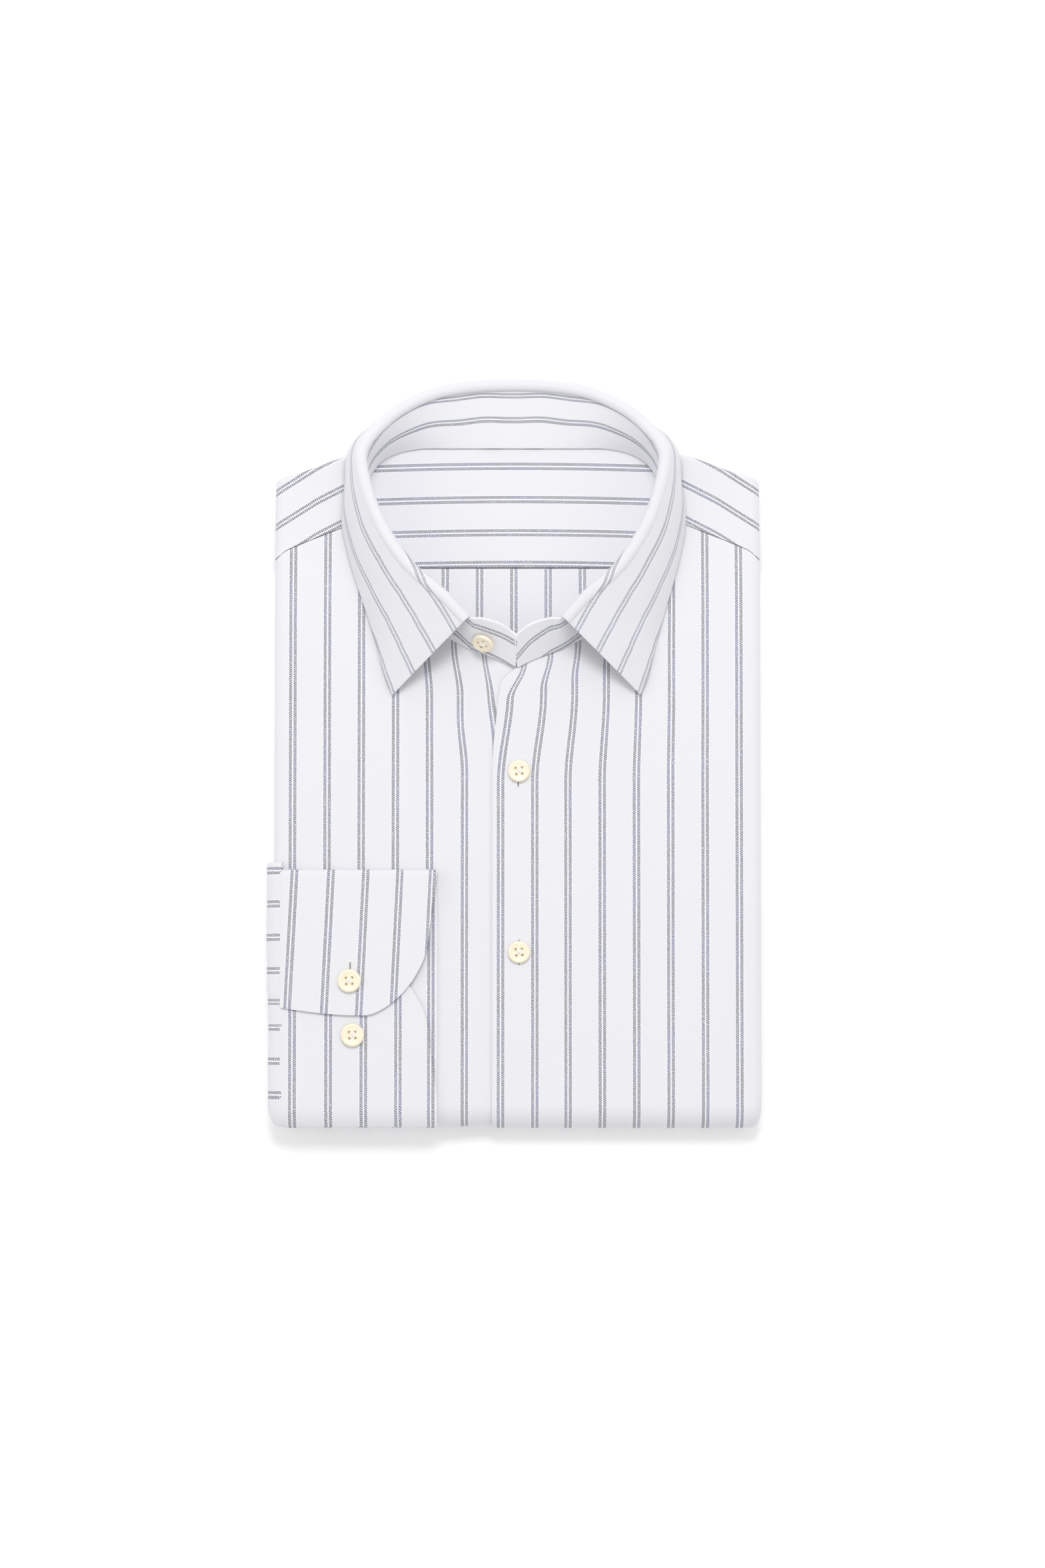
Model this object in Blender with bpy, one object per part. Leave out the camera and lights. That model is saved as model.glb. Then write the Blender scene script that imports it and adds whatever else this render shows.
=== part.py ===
"""Folded long-sleeved dress shirt, lying face up with its sides and tail folded under.

The origin is on the underside, on the middle line of the body. +X is to the right of
the shirt as it is looked at, +Y towards the collar, +Z up. Lengths are in metres.
"""
import bpy
import bmesh
import math
import numpy as np
from mathutils import Matrix, Vector

MM = 0.001

# Folded body
BODY_HALF_WIDTH = 125.2 * MM
STACK_HEIGHT = 24.0 * MM
BOTTOM_Y = -192.4 * MM
TURN_RADIUS = STACK_HEIGHT / 2
TURN_Y = BOTTOM_Y + TURN_RADIUS
TURN_LENGTH = math.pi * TURN_RADIUS
CORNER_RADIUS = 6.0 * MM
HALF_STACK = 10.2 * MM
TAIL_HEIGHT = 6.5 * MM
TAIL_Y = 118.0 * MM
TAIL_CURVE = 24.0 * MM
SIDE_RETURN = 30.0 * MM

# Relief of the upper face
SHOULDER_FALL = 8.0 * MM
NECK_RISE = 2.5 * MM
EDGE_FALL = 0.4 * MM

# Cloth walls and the gap that parts the pieces
CLOTH = 1.2 * MM
BACK_CLOTH = 1.0 * MM
CUFF_CLOTH = 1.4 * MM
COLLAR_CLOTH = 1.4 * MM
SLEEVE_CLOTH = 1.0 * MM
GAP = 0.3 * MM

# Front opening
UNDERLAP_DIP = CLOTH + GAP
BACK_DEPTH = 4.0 * MM
BACK_HALF_WIDTH = 118.0 * MM

# Yoke
BACK_SEAM_Y = 96.1 * MM
NECK_BACK_Y = 158.8 * MM

# Collar
FOLD_RADIUS = 2.6 * MM
LEAF_BOW = 1.6 * MM
COLLAR_SHIFT_FRONT = -0.5 * MM
COLLAR_SHIFT_BACK = -2.3 * MM

# Right cuff, laid on the front
CUFF_SEAM_X = -120.8 * MM
CUFF_WRIST_X = -41.0 * MM
CUFF_TOP_Y = -60.5 * MM
CUFF_END_Y = -133.0 * MM
CUFF_LOWER_END_Y = -106.0 * MM
CUFF_TURN_ANGLE = math.radians(48)
CUFF_LIFT = 0.5 * MM
CUFF_LAYER_GAP = 0.6 * MM

# Buttons
BUTTON_DIAMETER = 11.4 * MM
CUFF_BUTTON_DIAMETER = 12.0 * MM
BUTTON_THICKNESS = 2.4 * MM
BUTTON_HOLE_DIAMETER = 1.7 * MM
BUTTON_HOLE_PITCH = 3.3 * MM
BAND_BUTTON_LIFT = 1.1 * MM

# Front edge of the upper front, from the neck down: y, x in millimetres
FRONT_EDGE = (
    (43.4, -1.2),
    (38.3, -7.4),
    (31.4, -9.4),
    (17.0, -11.1),
    (6.8, -12.2),
    (-14.5, -13.2),
)

FRONT_EDGE_TOP_Y = FRONT_EDGE[0][0] * MM
FRONT_EDGE_LOW_Y = FRONT_EDGE[-1][0] * MM

# Seam between front and yoke, by distance from the middle: x, y in millimetres
YOKE_SEAM = (
    (76.0, 123.5),
    (88.0, 118.2),
    (98.9, 113.8),
    (112.5, 108.2),
    (121.0, 104.0),
    (125.2, 99.8),
)

# Shoulder line, by distance from the middle: x, y in millimetres
SHOULDER_LINE = (
    (0.0, 158.8),
    (60.0, 158.8),
    (79.5, 156.2),
    (93.3, 152.7),
    (110.1, 146.5),
    (125.2, 142.2),
)

# Lower edge of the hidden layers under the folded-up tail: x, y in millimetres
TAIL_LINE = (
    (0.0, 118.0),
    (125.2, 94.0),
)

# One half of the collar from the front end to the middle of the back, in millimetres.
# The foot is the neck seam, the fold is the top of the roll, the edge is the free edge
# of the leaf. Rows without a leaf repeat the fold.
# Columns: foot x, foot y, fold x, fold y, fold z, edge x, edge y, edge z.
FOOT = slice(0, 2)
FOLD = slice(2, 5)
EDGE = slice(5, 8)
COLLAR_ROWS = (
    (0.4, 43.9, 0.4, 57.2, 46.5, 0.0, 0.0, 0.0),
    (8.0, 47.8, 8.0, 62.6, 49.5, 0.0, 0.0, 0.0),
    (18.0, 51.6, 17.0, 65.4, 51.5, 0.0, 0.0, 0.0),
    (27.5, 55.6, 25.3, 66.4, 53.5, 63.7, 30.0, 26.3),
    (38.5, 62.0, 37.0, 79.0, 54.5, 67.6, 40.5, 26.6),
    (52.0, 73.5, 51.5, 91.5, 54.5, 71.8, 57.4, 26.4),
    (63.0, 89.0, 62.5, 106.0, 54.0, 78.0, 77.5, 24.9),
    (71.0, 106.5, 70.3, 121.0, 53.0, 84.4, 99.0, 22.8),
    (75.6, 123.0, 75.3, 136.0, 52.0, 88.4, 120.0, 20.5),
    (76.0, 139.0, 77.6, 149.0, 50.0, 86.6, 140.0, 18.7),
    (70.5, 150.0, 76.0, 156.5, 47.8, 86.0, 153.0, 18.4),
    (61.5, 156.0, 70.5, 164.5, 43.5, 80.5, 160.8, 11.0),
    (48.0, 158.8, 58.0, 176.0, 38.0, 62.0, 162.0, 3.0),
    (32.0, 158.8, 40.0, 185.2, 33.0, 41.0, 162.0, 1.5),
    (16.0, 158.8, 20.0, 189.0, 31.0, 20.0, 162.0, 1.5),
    (0.0, 158.8, 0.0, 189.8, 30.5, 0.0, 162.0, 1.5),
)
LEAF_FIRST_ROW = 3

# Round corner at the end of the cuff, in millimetres: distance from the end, cut back
CUFF_CORNER = (
    (0.0, 36.0),
    (3.0, 27.5),
    (8.6, 19.5),
    (14.0, 13.6),
    (28.0, 6.8),
    (47.0, 3.7),
    (74.0, 0.0),
)

# Hidden layers of the stack, from the top down: name, half width, lowest y, highest y
# short of the shoulder line or the tail, centre depth, thickness, and whether the
# shoulder line or the tail ends it. All lengths in millimetres.
LAYERS = (
    ("upper", 117.5, -184.0, 3.5, 6.75, 3.2, "shoulder"),
    ("sleeve", 117.5, -50.0, 6.0, 11.9, 2.3, "shoulder"),
    ("lower", 113.0, -182.0, 3.0, 16.9, 3.0, "tail"),
    ("lowest", 113.0, -181.0, 2.0, 19.6, 2.7, "tail"),
)

# The folded sleeves and sides in the middle, which join the layers. Same columns.
HEART = ("folded_layers", 86.0, -176.0, 84.0, 12.6, 14.6, "shoulder")

SHIRT_COLOUR = (0.88, 0.88, 0.91, 1.0)
INSIDE_COLOUR = (0.78, 0.78, 0.82, 1.0)
LAYER_COLOUR = (0.82, 0.82, 0.85, 1.0)
BUTTON_COLOUR = (0.91, 0.81, 0.58, 1.0)


def clear_scene():
    """Remove every object of the scene."""
    for item in list(bpy.data.objects):
        bpy.data.objects.remove(item, do_unlink=True)


def make_material(name, colour, roughness):
    """Principled material with one colour and roughness."""
    material = bpy.data.materials.new(name)
    material.use_nodes = True
    shader = material.node_tree.nodes["Principled BSDF"]
    shader.inputs["Base Color"].default_value = colour
    shader.inputs["Roughness"].default_value = roughness
    shader.inputs["Metallic"].default_value = 0.0
    material.diffuse_color = colour
    return material


def ease(value, start, end):
    """Smooth step from 0 at start to 1 at end."""
    part = np.clip((value - start) / (end - start), 0.0, 1.0)
    return part * part * (3.0 - 2.0 * part)


def column(table, index):
    """One column of a millimetre table, in metres."""
    return np.array([row[index] for row in table]) * MM


def between(table, value):
    """Second column of a two-column table at a value of its first."""
    first = column(table, 0)
    second = column(table, 1)
    order = np.argsort(first)
    return np.interp(value, first[order], second[order])


def curve_through(rows, samples):
    """Smooth curve through the rows, sampled at row numbers, by cubic Hermite spans."""
    rows = np.asarray(rows, dtype=float)
    slopes = np.gradient(rows, axis=0)
    low = np.clip(np.floor(samples).astype(int), 0, len(rows) - 2)
    part = (samples - low)[:, None]
    a, b = rows[low], rows[low + 1]
    da, db = slopes[low], slopes[low + 1]
    square, cube = part ** 2, part ** 3
    return ((2 * cube - 3 * square + 1) * a + (cube - 2 * square + part) * da
            + (3 * square - 2 * cube) * b + (cube - square) * db)


def relief(x, y):
    """Height of the upper face above or below the level stack."""
    rise = NECK_RISE * np.exp(-(x / (45 * MM)) ** 2 - ((y - 50 * MM) / (38 * MM)) ** 2)
    fall = SHOULDER_FALL * ease(y, 55 * MM, 160 * MM)
    edge = EDGE_FALL * (np.abs(x) / BODY_HALF_WIDTH) ** 4
    return rise - fall - edge * ease(y, TURN_Y, TURN_Y + 60 * MM)


def surface_z(x, y):
    """Height of the shirt's upper face at a place."""
    return STACK_HEIGHT + relief(x, y)


def lay(x, along, depth):
    """Place a point on the folded body.

    x runs across, along is the distance up the cloth from where the bottom turn starts
    (negative round the turn and on along the underside), and depth is measured inwards
    from the outer face. The corners of the turn are rounded in plan.
    """
    angle = np.clip(-along, 0.0, TURN_LENGTH) / TURN_RADIUS
    upper = np.maximum(along, 0.0)
    under = np.maximum(-along - TURN_LENGTH, 0.0)
    radius = TURN_RADIUS - depth
    reach = np.clip((np.abs(x) - (BODY_HALF_WIDTH - CORNER_RADIUS)) / CORNER_RADIUS, 0, 1)
    corner = CORNER_RADIUS * (1 - np.sqrt(1 - reach ** 2))
    near_turn = 1 - ease(upper + under, 0.0, 25 * MM)
    y = TURN_Y + upper + under - radius * np.sin(angle) + corner * near_turn
    on_top = np.where(along > 0, 1.0, 0.0)
    z = TURN_RADIUS + radius * np.cos(angle) + on_top * relief(x, TURN_Y + upper)
    return np.stack(np.broadcast_arrays(x, y, z), axis=-1)


def farthest(x):
    """Distance from the middle, held at its greatest where the section turns back."""
    return np.maximum.accumulate(np.abs(x))


def surface_normals(grid, closed=False):
    """Unit normals of a grid of points, from its differences both ways."""
    if closed:
        down = np.roll(grid, -1, axis=0) - np.roll(grid, 1, axis=0)
    else:
        down = np.gradient(grid, axis=0)
    across = np.gradient(grid, axis=1)
    normals = np.cross(down, across)
    return normals / np.maximum(np.linalg.norm(normals, axis=2, keepdims=True), 1e-12)


def cloth_wall(name, grid, thickness, material, mask=None, closed=False):
    """Closed wall of even thickness on both sides of a grid of points."""
    offset = surface_normals(grid, closed) * thickness / 2
    return closed_sheet(name, grid + offset, grid - offset, material, mask, closed)


def closed_sheet(name, face_a, face_b, material, mask=None, closed=False):
    """Closed solid between two grids of points that lie opposite each other.

    mask leaves cells out, and closed joins the last row to the first. Each edge that
    belongs to one cell only gets a face that joins the two sides.
    """
    rows, columns = face_a.shape[:2]
    sides = np.concatenate([face_a.reshape(-1, 3), face_b.reshape(-1, 3)])
    count = rows * columns
    cell_rows = rows if closed else rows - 1
    if mask is None:
        mask = np.ones((cell_rows, columns - 1), dtype=bool)
    faces = []
    borders = {}
    for row, place in zip(*np.nonzero(mask)):
        following = (row + 1) % rows
        loop = (row * columns + place, row * columns + place + 1,
                following * columns + place + 1, following * columns + place)
        faces.append(tuple(reversed(loop)))
        faces.append(tuple(index + count for index in loop))
        for start, end in zip(loop, loop[1:] + loop[:1]):
            if (end, start) in borders:
                del borders[(end, start)]
            else:
                borders[(start, end)] = True
    for start, end in borders:
        faces.append((start, end, end + count, start + count))
    return make_object(name, sides, faces, material)


def make_object(name, points, faces, material):
    """Object from points and faces, with its normals turned outwards."""
    mesh = bpy.data.meshes.new(name)
    mesh.from_pydata([tuple(point) for point in points], [], faces)
    shape = bmesh.new()
    shape.from_mesh(mesh)
    loose = [vertex for vertex in shape.verts if not vertex.link_faces]
    bmesh.ops.delete(shape, geom=loose, context="VERTS")
    bmesh.ops.triangulate(shape, faces=shape.faces)
    bmesh.ops.recalc_face_normals(shape, faces=shape.faces)
    shape.to_mesh(mesh)
    shape.free()
    mesh.materials.append(material)
    mesh.shade_smooth()
    mesh.set_sharp_from_angle(angle=math.radians(40))
    item = bpy.data.objects.new(name, mesh)
    bpy.context.scene.collection.objects.link(item)
    return item


def side_section(flat, stack, return_steps=2, curl_steps=6):
    """Across the body: flat, round the side edge, and a short return beneath.

    Gives the distance outwards from the middle and the depth of the wall's middle, as
    rows by columns, where stack is the height of the half that the side wraps, one
    value a row.
    """
    stack = np.asarray(stack)[:, None]
    radius = (stack - CLOTH) / 2
    centre = BODY_HALF_WIDTH - CLOTH / 2 - radius
    angles = np.linspace(0.0, math.pi, curl_steps + 1)[None, :]
    curl_out = centre + radius * np.sin(angles)
    curl_depth = CLOTH / 2 + radius * (1 - np.cos(angles))
    share = (np.arange(return_steps) + 1)[None, :] / return_steps
    return_out = centre - (SIDE_RETURN - radius) * share
    return_depth = np.broadcast_to(stack - CLOTH / 2, return_out.shape)
    flat_out = np.broadcast_to(flat, (len(stack), len(flat)))
    flat_depth = np.full(flat_out.shape, CLOTH / 2)
    out = np.concatenate([flat_out, curl_out, return_out], axis=1)
    depth = np.concatenate([flat_depth, curl_depth, return_depth], axis=1)
    return out, depth


def collar_shift(y):
    """Sideways shift of the collar, which sits a little to one side at the back."""
    share = ease(y, 30 * MM, 150 * MM)
    return COLLAR_SHIFT_FRONT + (COLLAR_SHIFT_BACK - COLLAR_SHIFT_FRONT) * share


def neck_edge(x):
    """Front edge of the neck opening, y at x."""
    foot_x = column(COLLAR_ROWS[:9], 0)
    foot_y = column(COLLAR_ROWS[:9], 1)
    return np.interp(np.abs(x), foot_x, foot_y)


def front_top(x):
    """Upper edge of a front: the neck seam near the middle, then the yoke seam."""
    across = np.abs(x)
    neck = neck_edge(x)
    yoke = between(YOKE_SEAM, across) - GAP
    return np.where(across < 76 * MM, neck, yoke)


def stack_along(along):
    """Height of the half stack that the sides wrap, along the cloth."""
    under = np.maximum(-along - TURN_LENGTH, 0.0) + TURN_Y
    return HALF_STACK - (HALF_STACK - TAIL_HEIGHT) * ease(under, 40 * MM, 120 * MM)


def front_rows(top_along, hem_along):
    """Distances along the cloth for each row, from the upper edge to the hem."""
    upper = np.array([1.0, 0.93, 0.86, 0.78, 0.68, 0.56, 0.42, 0.28, 0.15, 0.06, 0.0])
    turn = -TURN_LENGTH * np.linspace(0.0, 1.0, 9)[1:]
    under = np.linspace(0.0, 1.0, 7)[1:]
    top = top_along[None, :] * upper[:, None]
    middle = np.broadcast_to(turn[:, None], (len(turn), len(top_along)))
    bottom = -TURN_LENGTH + (hem_along[None, :] + TURN_LENGTH) * under[:, None]
    return np.concatenate([top, middle, bottom], axis=0)


def front_panel(name, side, flat_x, slack, material):
    """One front from its neck and yoke seams, round the bottom turn to its tail hem.

    slack is how far each flat column follows the bent stretch of the front edge.
    """
    flat = len(flat_x)
    low_edge = between(FRONT_EDGE, FRONT_EDGE_LOW_Y)
    top_edge = between(FRONT_EDGE, FRONT_EDGE_TOP_Y)
    out = side_section(side * flat_x, np.array([HALF_STACK]))[0][0]
    seam_x = farthest(out)
    seam_x[:flat] = flat_x + (top_edge - low_edge) * slack
    top_y = front_top(seam_x)
    hem_y = TAIL_Y - TAIL_CURVE * (out / BODY_HALF_WIDTH) ** 2
    along = front_rows(top_y - TURN_Y, -TURN_LENGTH - (hem_y - TURN_Y))
    out, depth = side_section(side * flat_x, stack_along(along[:, -1]))
    x = side * out
    y = TURN_Y + np.maximum(along[:, :flat], 0.0)
    x[:, :flat] += (between(FRONT_EDGE, y) - low_edge) * slack[None, :]
    if side < 0:
        depth = depth + UNDERLAP_DIP * ease(x, -42 * MM, -17 * MM)
    return cloth_wall(name, lay(x, along, depth), CLOTH, material)


def front_left(material):
    """Wearer's left front, on the right of the picture, which lies over the other."""
    flat_x = np.array([-13.2, -8.0, 0.0, 9.0, 19.0, 31.0, 44.0, 56.0, 66.0, 75.9, 87.0,
                       99.0, 111.0]) * MM
    slack = np.zeros(len(flat_x))
    slack[:6] = (1.0, 0.85, 0.6, 0.35, 0.15, 0.05)
    return front_panel("front_left", 1.0, flat_x, slack, material)


def front_right(material):
    """Wearer's right front, which runs on under the other as far as the underlap."""
    flat_x = -np.array([-17.0, -8.0, 1.0, 7.0, 13.2, 19.0, 26.0, 35.0, 46.0, 57.0, 67.0,
                        75.9, 87.0, 99.0, 111.0]) * MM
    return front_panel("front_right", -1.0, flat_x, np.zeros(len(flat_x)), material)


def yoke(material):
    """Yoke: two flaps in front, the turn at the shoulder line and the part behind it.

    Columns run across from one side's curl to the other's. Rows run from the front seam
    over the shoulder line and down the back part to the back seam.
    """
    inner = np.array([79.5, 87.0, 95.0, 104.0, 112.0]) * MM
    wing_x, wing_depth = side_section(inner, np.array([HALF_STACK]), return_steps=1)
    wing_x, wing_depth = wing_x[0], wing_depth[0]
    middle = np.array([-66, -50, -34, -17, 0, 17, 34, 50, 66]) * MM
    x = np.concatenate([-wing_x[::-1], middle, wing_x])
    depth = np.concatenate([wing_depth[::-1], np.full(len(middle), CLOTH / 2), wing_depth])
    wing = farthest(wing_x)
    across = np.concatenate([wing[::-1], np.abs(middle), wing])
    seam = between(YOKE_SEAM, across)
    shoulder = between(SHOULDER_LINE, across)
    inset = (BACK_DEPTH - CLOTH / 2) / 2
    curl_angle = np.arccos(np.clip(1 - (depth - CLOTH / 2) / ((HALF_STACK - CLOTH) / 2),
                                   -1, 1))
    rows_x, rows_along, rows_depth = [], [], []

    def add_row(y, inward):
        """Row at y, shifted inwards along the section's own normal."""
        rows_x.append(x - np.sign(x) * inward * np.sin(curl_angle))
        rows_depth.append(depth + inward * np.cos(curl_angle))
        rows_along.append(y - TURN_Y)

    for share in (0.0, 0.3, 0.6, 0.85, 1.0):
        add_row(seam + (shoulder - inset - seam) * share, 0.0)
    for angle in np.radians((40, 70, 100, 130, 180)):
        add_row(shoulder - inset + inset * math.sin(angle), inset * (1 - math.cos(angle)))
    start = np.where(across < 70 * MM, NECK_BACK_Y, shoulder - inset)
    rows_along[-1] = start - TURN_Y
    for share in (0.12, 0.25, 0.45, 0.7, 1.0):
        add_row(start + (BACK_SEAM_Y + GAP - start) * share, 2 * inset)
    grid = lay(np.array(rows_x), np.array(rows_along), np.array(rows_depth))
    mask = np.ones((grid.shape[0] - 1, grid.shape[1] - 1), dtype=bool)
    mask[:9, len(wing) - 1:len(wing) + len(middle)] = False
    hidden = len(wing_x) - len(inner) - 3
    mask[4:, :hidden] = False
    mask[4:, -hidden:] = False
    return cloth_wall("yoke", grid, CLOTH, material, mask)


def back(material):
    """Back panel from the yoke seam down, lying flat under the fronts."""
    x = np.linspace(-BACK_HALF_WIDTH, BACK_HALF_WIDTH, 13)
    y = np.array([95.8, 84.0, 72.0, 58.0, 42.0, 20.0, -10.0, -60.0, -120.0, -176.0]) * MM
    grid = lay(x[None, :], (y - TURN_Y)[:, None], BACK_DEPTH)
    return cloth_wall("back", grid, BACK_CLOTH, material)


def collar_section(samples, leaf_rows):
    """Foot, fold and leaf edge of the whole ring at row numbers of both halves.

    samples runs from minus the last row (front end on the left of the picture) through
    0 (middle of the back) to plus the last row.
    """
    last = len(COLLAR_ROWS) - 1
    table = np.array(COLLAR_ROWS) * MM
    mirrored = table[::-1][1:].copy()
    left = table[leaf_rows:].copy()
    left[:, [0, 2, 5]] *= -1
    whole = np.concatenate([left, mirrored[:last - leaf_rows]])
    ring = curve_through(whole, samples)
    foot, fold, edge = ring[:, FOOT], ring[:, FOLD], ring[:, EDGE]
    foot = foot + np.stack([collar_shift(foot[:, 1]), 0 * foot[:, 1]], axis=1)
    fold = fold + np.stack([collar_shift(fold[:, 1]), 0 * fold[:, 1], 0 * fold[:, 1]], axis=1)
    edge = edge + np.stack([collar_shift(edge[:, 1]), 0 * edge[:, 1], 0 * edge[:, 1]], axis=1)
    return foot, fold, edge


def foot_height(foot):
    """Height of the neck seam: on the fronts, then down to the yoke behind the shoulder."""
    x, y = foot[:, 0], foot[:, 1]
    on_top = surface_z(x, y) + GAP
    behind = surface_z(x, y) - BACK_DEPTH + CLOTH / 2 + GAP
    share = ease(y, 124 * MM, 142 * MM)
    return on_top + (behind - on_top) * share


def outward(fold):
    """Level unit vectors that point away from the neck, across the fold line."""
    along = np.gradient(fold, axis=0)
    normal = np.stack([-along[:, 1], along[:, 0], 0 * along[:, 0]], axis=1)
    normal = normal / np.linalg.norm(normal, axis=1, keepdims=True)
    centre = np.array([0.0, 115 * MM, 0.0])
    facing = np.sum(normal * (fold - centre), axis=1)
    return normal * np.sign(facing)[:, None]


def fold_arc(fold, angle):
    """Point of the roll at an angle, 0 outside, 90 degrees on top, 180 inside."""
    up = np.array([0.0, 0.0, 1.0])
    centre = fold - up * FOLD_RADIUS
    return (centre + outward(fold) * FOLD_RADIUS * math.cos(angle)
            + up * FOLD_RADIUS * math.sin(angle))


def collar_band(material):
    """Band from the neck seam up to the start of the leaf, its front ends left bare."""
    spans = 2 * (len(COLLAR_ROWS) - 1)
    foot, fold, _ = collar_section(np.linspace(0, spans, 2 * spans + 1), 0)
    base = np.concatenate([foot, foot_height(foot)[:, None]], axis=1)
    base[:, 2] += COLLAR_CLOTH / 2 * 0.6
    top = fold_arc(fold, math.radians(200))
    upward = top - base
    length = np.linalg.norm(upward, axis=1, keepdims=True)
    top = base + upward * (1 - (GAP + 0.3 * MM) / length)
    shares = np.array([0.0, 0.35, 0.7, 1.0])[None, :, None]
    grid = base[:, None, :] + (top - base)[:, None, :] * shares
    return cloth_wall("collar_band", grid, COLLAR_CLOTH, material)


def collar_leaf(material):
    """Leaf from the top of the band, over the roll and down to its pointed free edge."""
    spans = 2 * (len(COLLAR_ROWS) - 1 - LEAF_FIRST_ROW)
    _, fold, edge = collar_section(np.linspace(0, spans, 2 * spans + 1), LEAF_FIRST_ROW)
    rows = [fold_arc(fold, math.radians(angle)) for angle in (190, 150, 115, 80, 45, 15)]
    start = rows[-1]
    for share in (0.15, 0.35, 0.6, 0.8, 1.0):
        bow = LEAF_BOW * math.sin(math.pi * share)
        rows.append(start + (edge - start) * share + outward(fold) * bow)
    grid = np.stack(rows, axis=1)
    return cloth_wall("collar_leaf", grid, COLLAR_CLOTH, material)


def sleeve_right(material):
    """Wearer's right sleeve: a flattened tube out of the side groove, round the edge.

    Rows go round the flat tube, columns follow it from the groove up to the cuff.
    """
    wall_gap = 0.4 * MM
    spread = (SLEEVE_CLOTH + wall_gap) / 2
    radius = HALF_STACK / 2 + 1.9 * GAP + SLEEVE_CLOTH + wall_gap / 2
    centre_x = -(BODY_HALF_WIDTH - HALF_STACK / 2)
    centre_depth = HALF_STACK / 2
    inside = np.array([26.0, 18.0, 9.0]) * MM
    angles = np.radians(np.linspace(-90, 76, 11))
    path_x = np.concatenate([centre_x + inside, centre_x - radius * np.cos(angles)])
    path_depth = np.concatenate([np.full(3, centre_depth + radius),
                                 centre_depth - radius * np.sin(angles)])
    out_x = np.concatenate([np.zeros(3), -np.cos(angles)])
    out_depth = np.concatenate([np.ones(3), -np.sin(angles)])
    climb = np.concatenate([np.zeros(3), (np.sin(angles) + 1) / 2])
    top_along = -57 * MM - TURN_Y
    bottom_along = 4 * MM - climb * (4 * MM + TURN_RADIUS * math.radians(42))
    shares = np.array([0.0, 0.12, 0.25, 0.4, 0.51, 0.53, 0.65, 0.8, 0.9, 0.93, 0.95, 0.97,
                       0.985, 1.0])
    loop = [(share, 1.0, 0.0) for share in shares]
    loop += [(1.0, math.cos(a), math.sin(a)) for a in np.radians((45, 90, 135))]
    loop += [(share, -1.0, 0.0) for share in shares[::-1]]
    loop += [(0.0, -math.cos(a), -math.sin(a)) for a in np.radians((45, 90, 135))]
    grid = []
    for share, layer, past in loop:
        along = top_along + (bottom_along - top_along) * share - past * spread
        vent = 0.9 * MM * (layer > 0) * (share < 0.52) * ease(climb, 0.0, 0.5)
        lift = spread * layer + vent
        grid.append(lay(path_x + out_x * lift, along, path_depth + out_depth * lift))
    return cloth_wall("sleeve_right", np.array(grid), SLEEVE_CLOTH, material, closed=True)


def cuff_path():
    """Side view of the cuff: distance along the body and height above it.

    From the end of the upper layer over the top turn, back beneath, round the bottom
    turn and up the lower layer to its hidden end. Also gives the distance of each point
    from the nearer end, for the round corners.
    """
    low = CUFF_LIFT + CUFF_CLOTH / 2
    middle = low + CUFF_CLOTH + CUFF_LAYER_GAP
    high = middle + CUFF_CLOTH + GAP
    top_along = CUFF_TOP_Y - TURN_Y
    bottom_along = -TURN_RADIUS * CUFF_TURN_ANGLE
    end_along = CUFF_END_Y - TURN_Y
    lower_end = CUFF_LOWER_END_Y - TURN_Y
    big, small = (high - low) / 2, (middle - low) / 2
    turn_steps = -TURN_RADIUS * CUFF_TURN_ANGLE * np.linspace(0.1, 0.9, 6)
    points = []
    for share in (0, 0.04, 0.12, 0.2, 0.39, 0.64, 1.0):
        points.append((end_along + (top_along - big - end_along) * share, high))
    for angle in np.radians((45, 90, 135)):
        points.append((top_along - big + big * math.sin(angle),
                       low + big + big * math.cos(angle)))
    for share in (0.0, 0.2, 0.45, 0.7, 0.9, 1.0):
        points.append(((top_along - big) * (1 - share), low))
    points += [(step, low) for step in turn_steps]
    for angle in np.radians((0, 45, 90, 135, 180)):
        points.append((bottom_along + small - small * math.sin(angle),
                       low + small - small * math.cos(angle)))
    points += [(step, middle) for step in turn_steps[::-1]]
    for share in (0.0, 0.1, 0.3, 0.5, 0.7, 0.85, 0.92, 0.97, 1.0):
        points.append((lower_end * share, middle))
    path = np.array(points)
    steps = np.linalg.norm(np.diff(path, axis=0), axis=1)
    run = np.concatenate([[0.0], np.cumsum(steps)])
    return path[:, 0], path[:, 1], np.minimum(run, run[-1] - run)


def cuff_right(material):
    """Right cuff: one strip wound into a flat tube, its ends lapped, corners round."""
    along, height, from_end = cuff_path()
    wrist = CUFF_WRIST_X - between(CUFF_CORNER, from_end)
    shares = np.linspace(0.0, 1.0, 6)[None, :]
    x = CUFF_SEAM_X + (wrist[:, None] - CUFF_SEAM_X) * shares
    grid = lay(x, along[:, None], -height[:, None])
    return cloth_wall("cuff_right", grid, CUFF_CLOTH, material)


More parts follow.
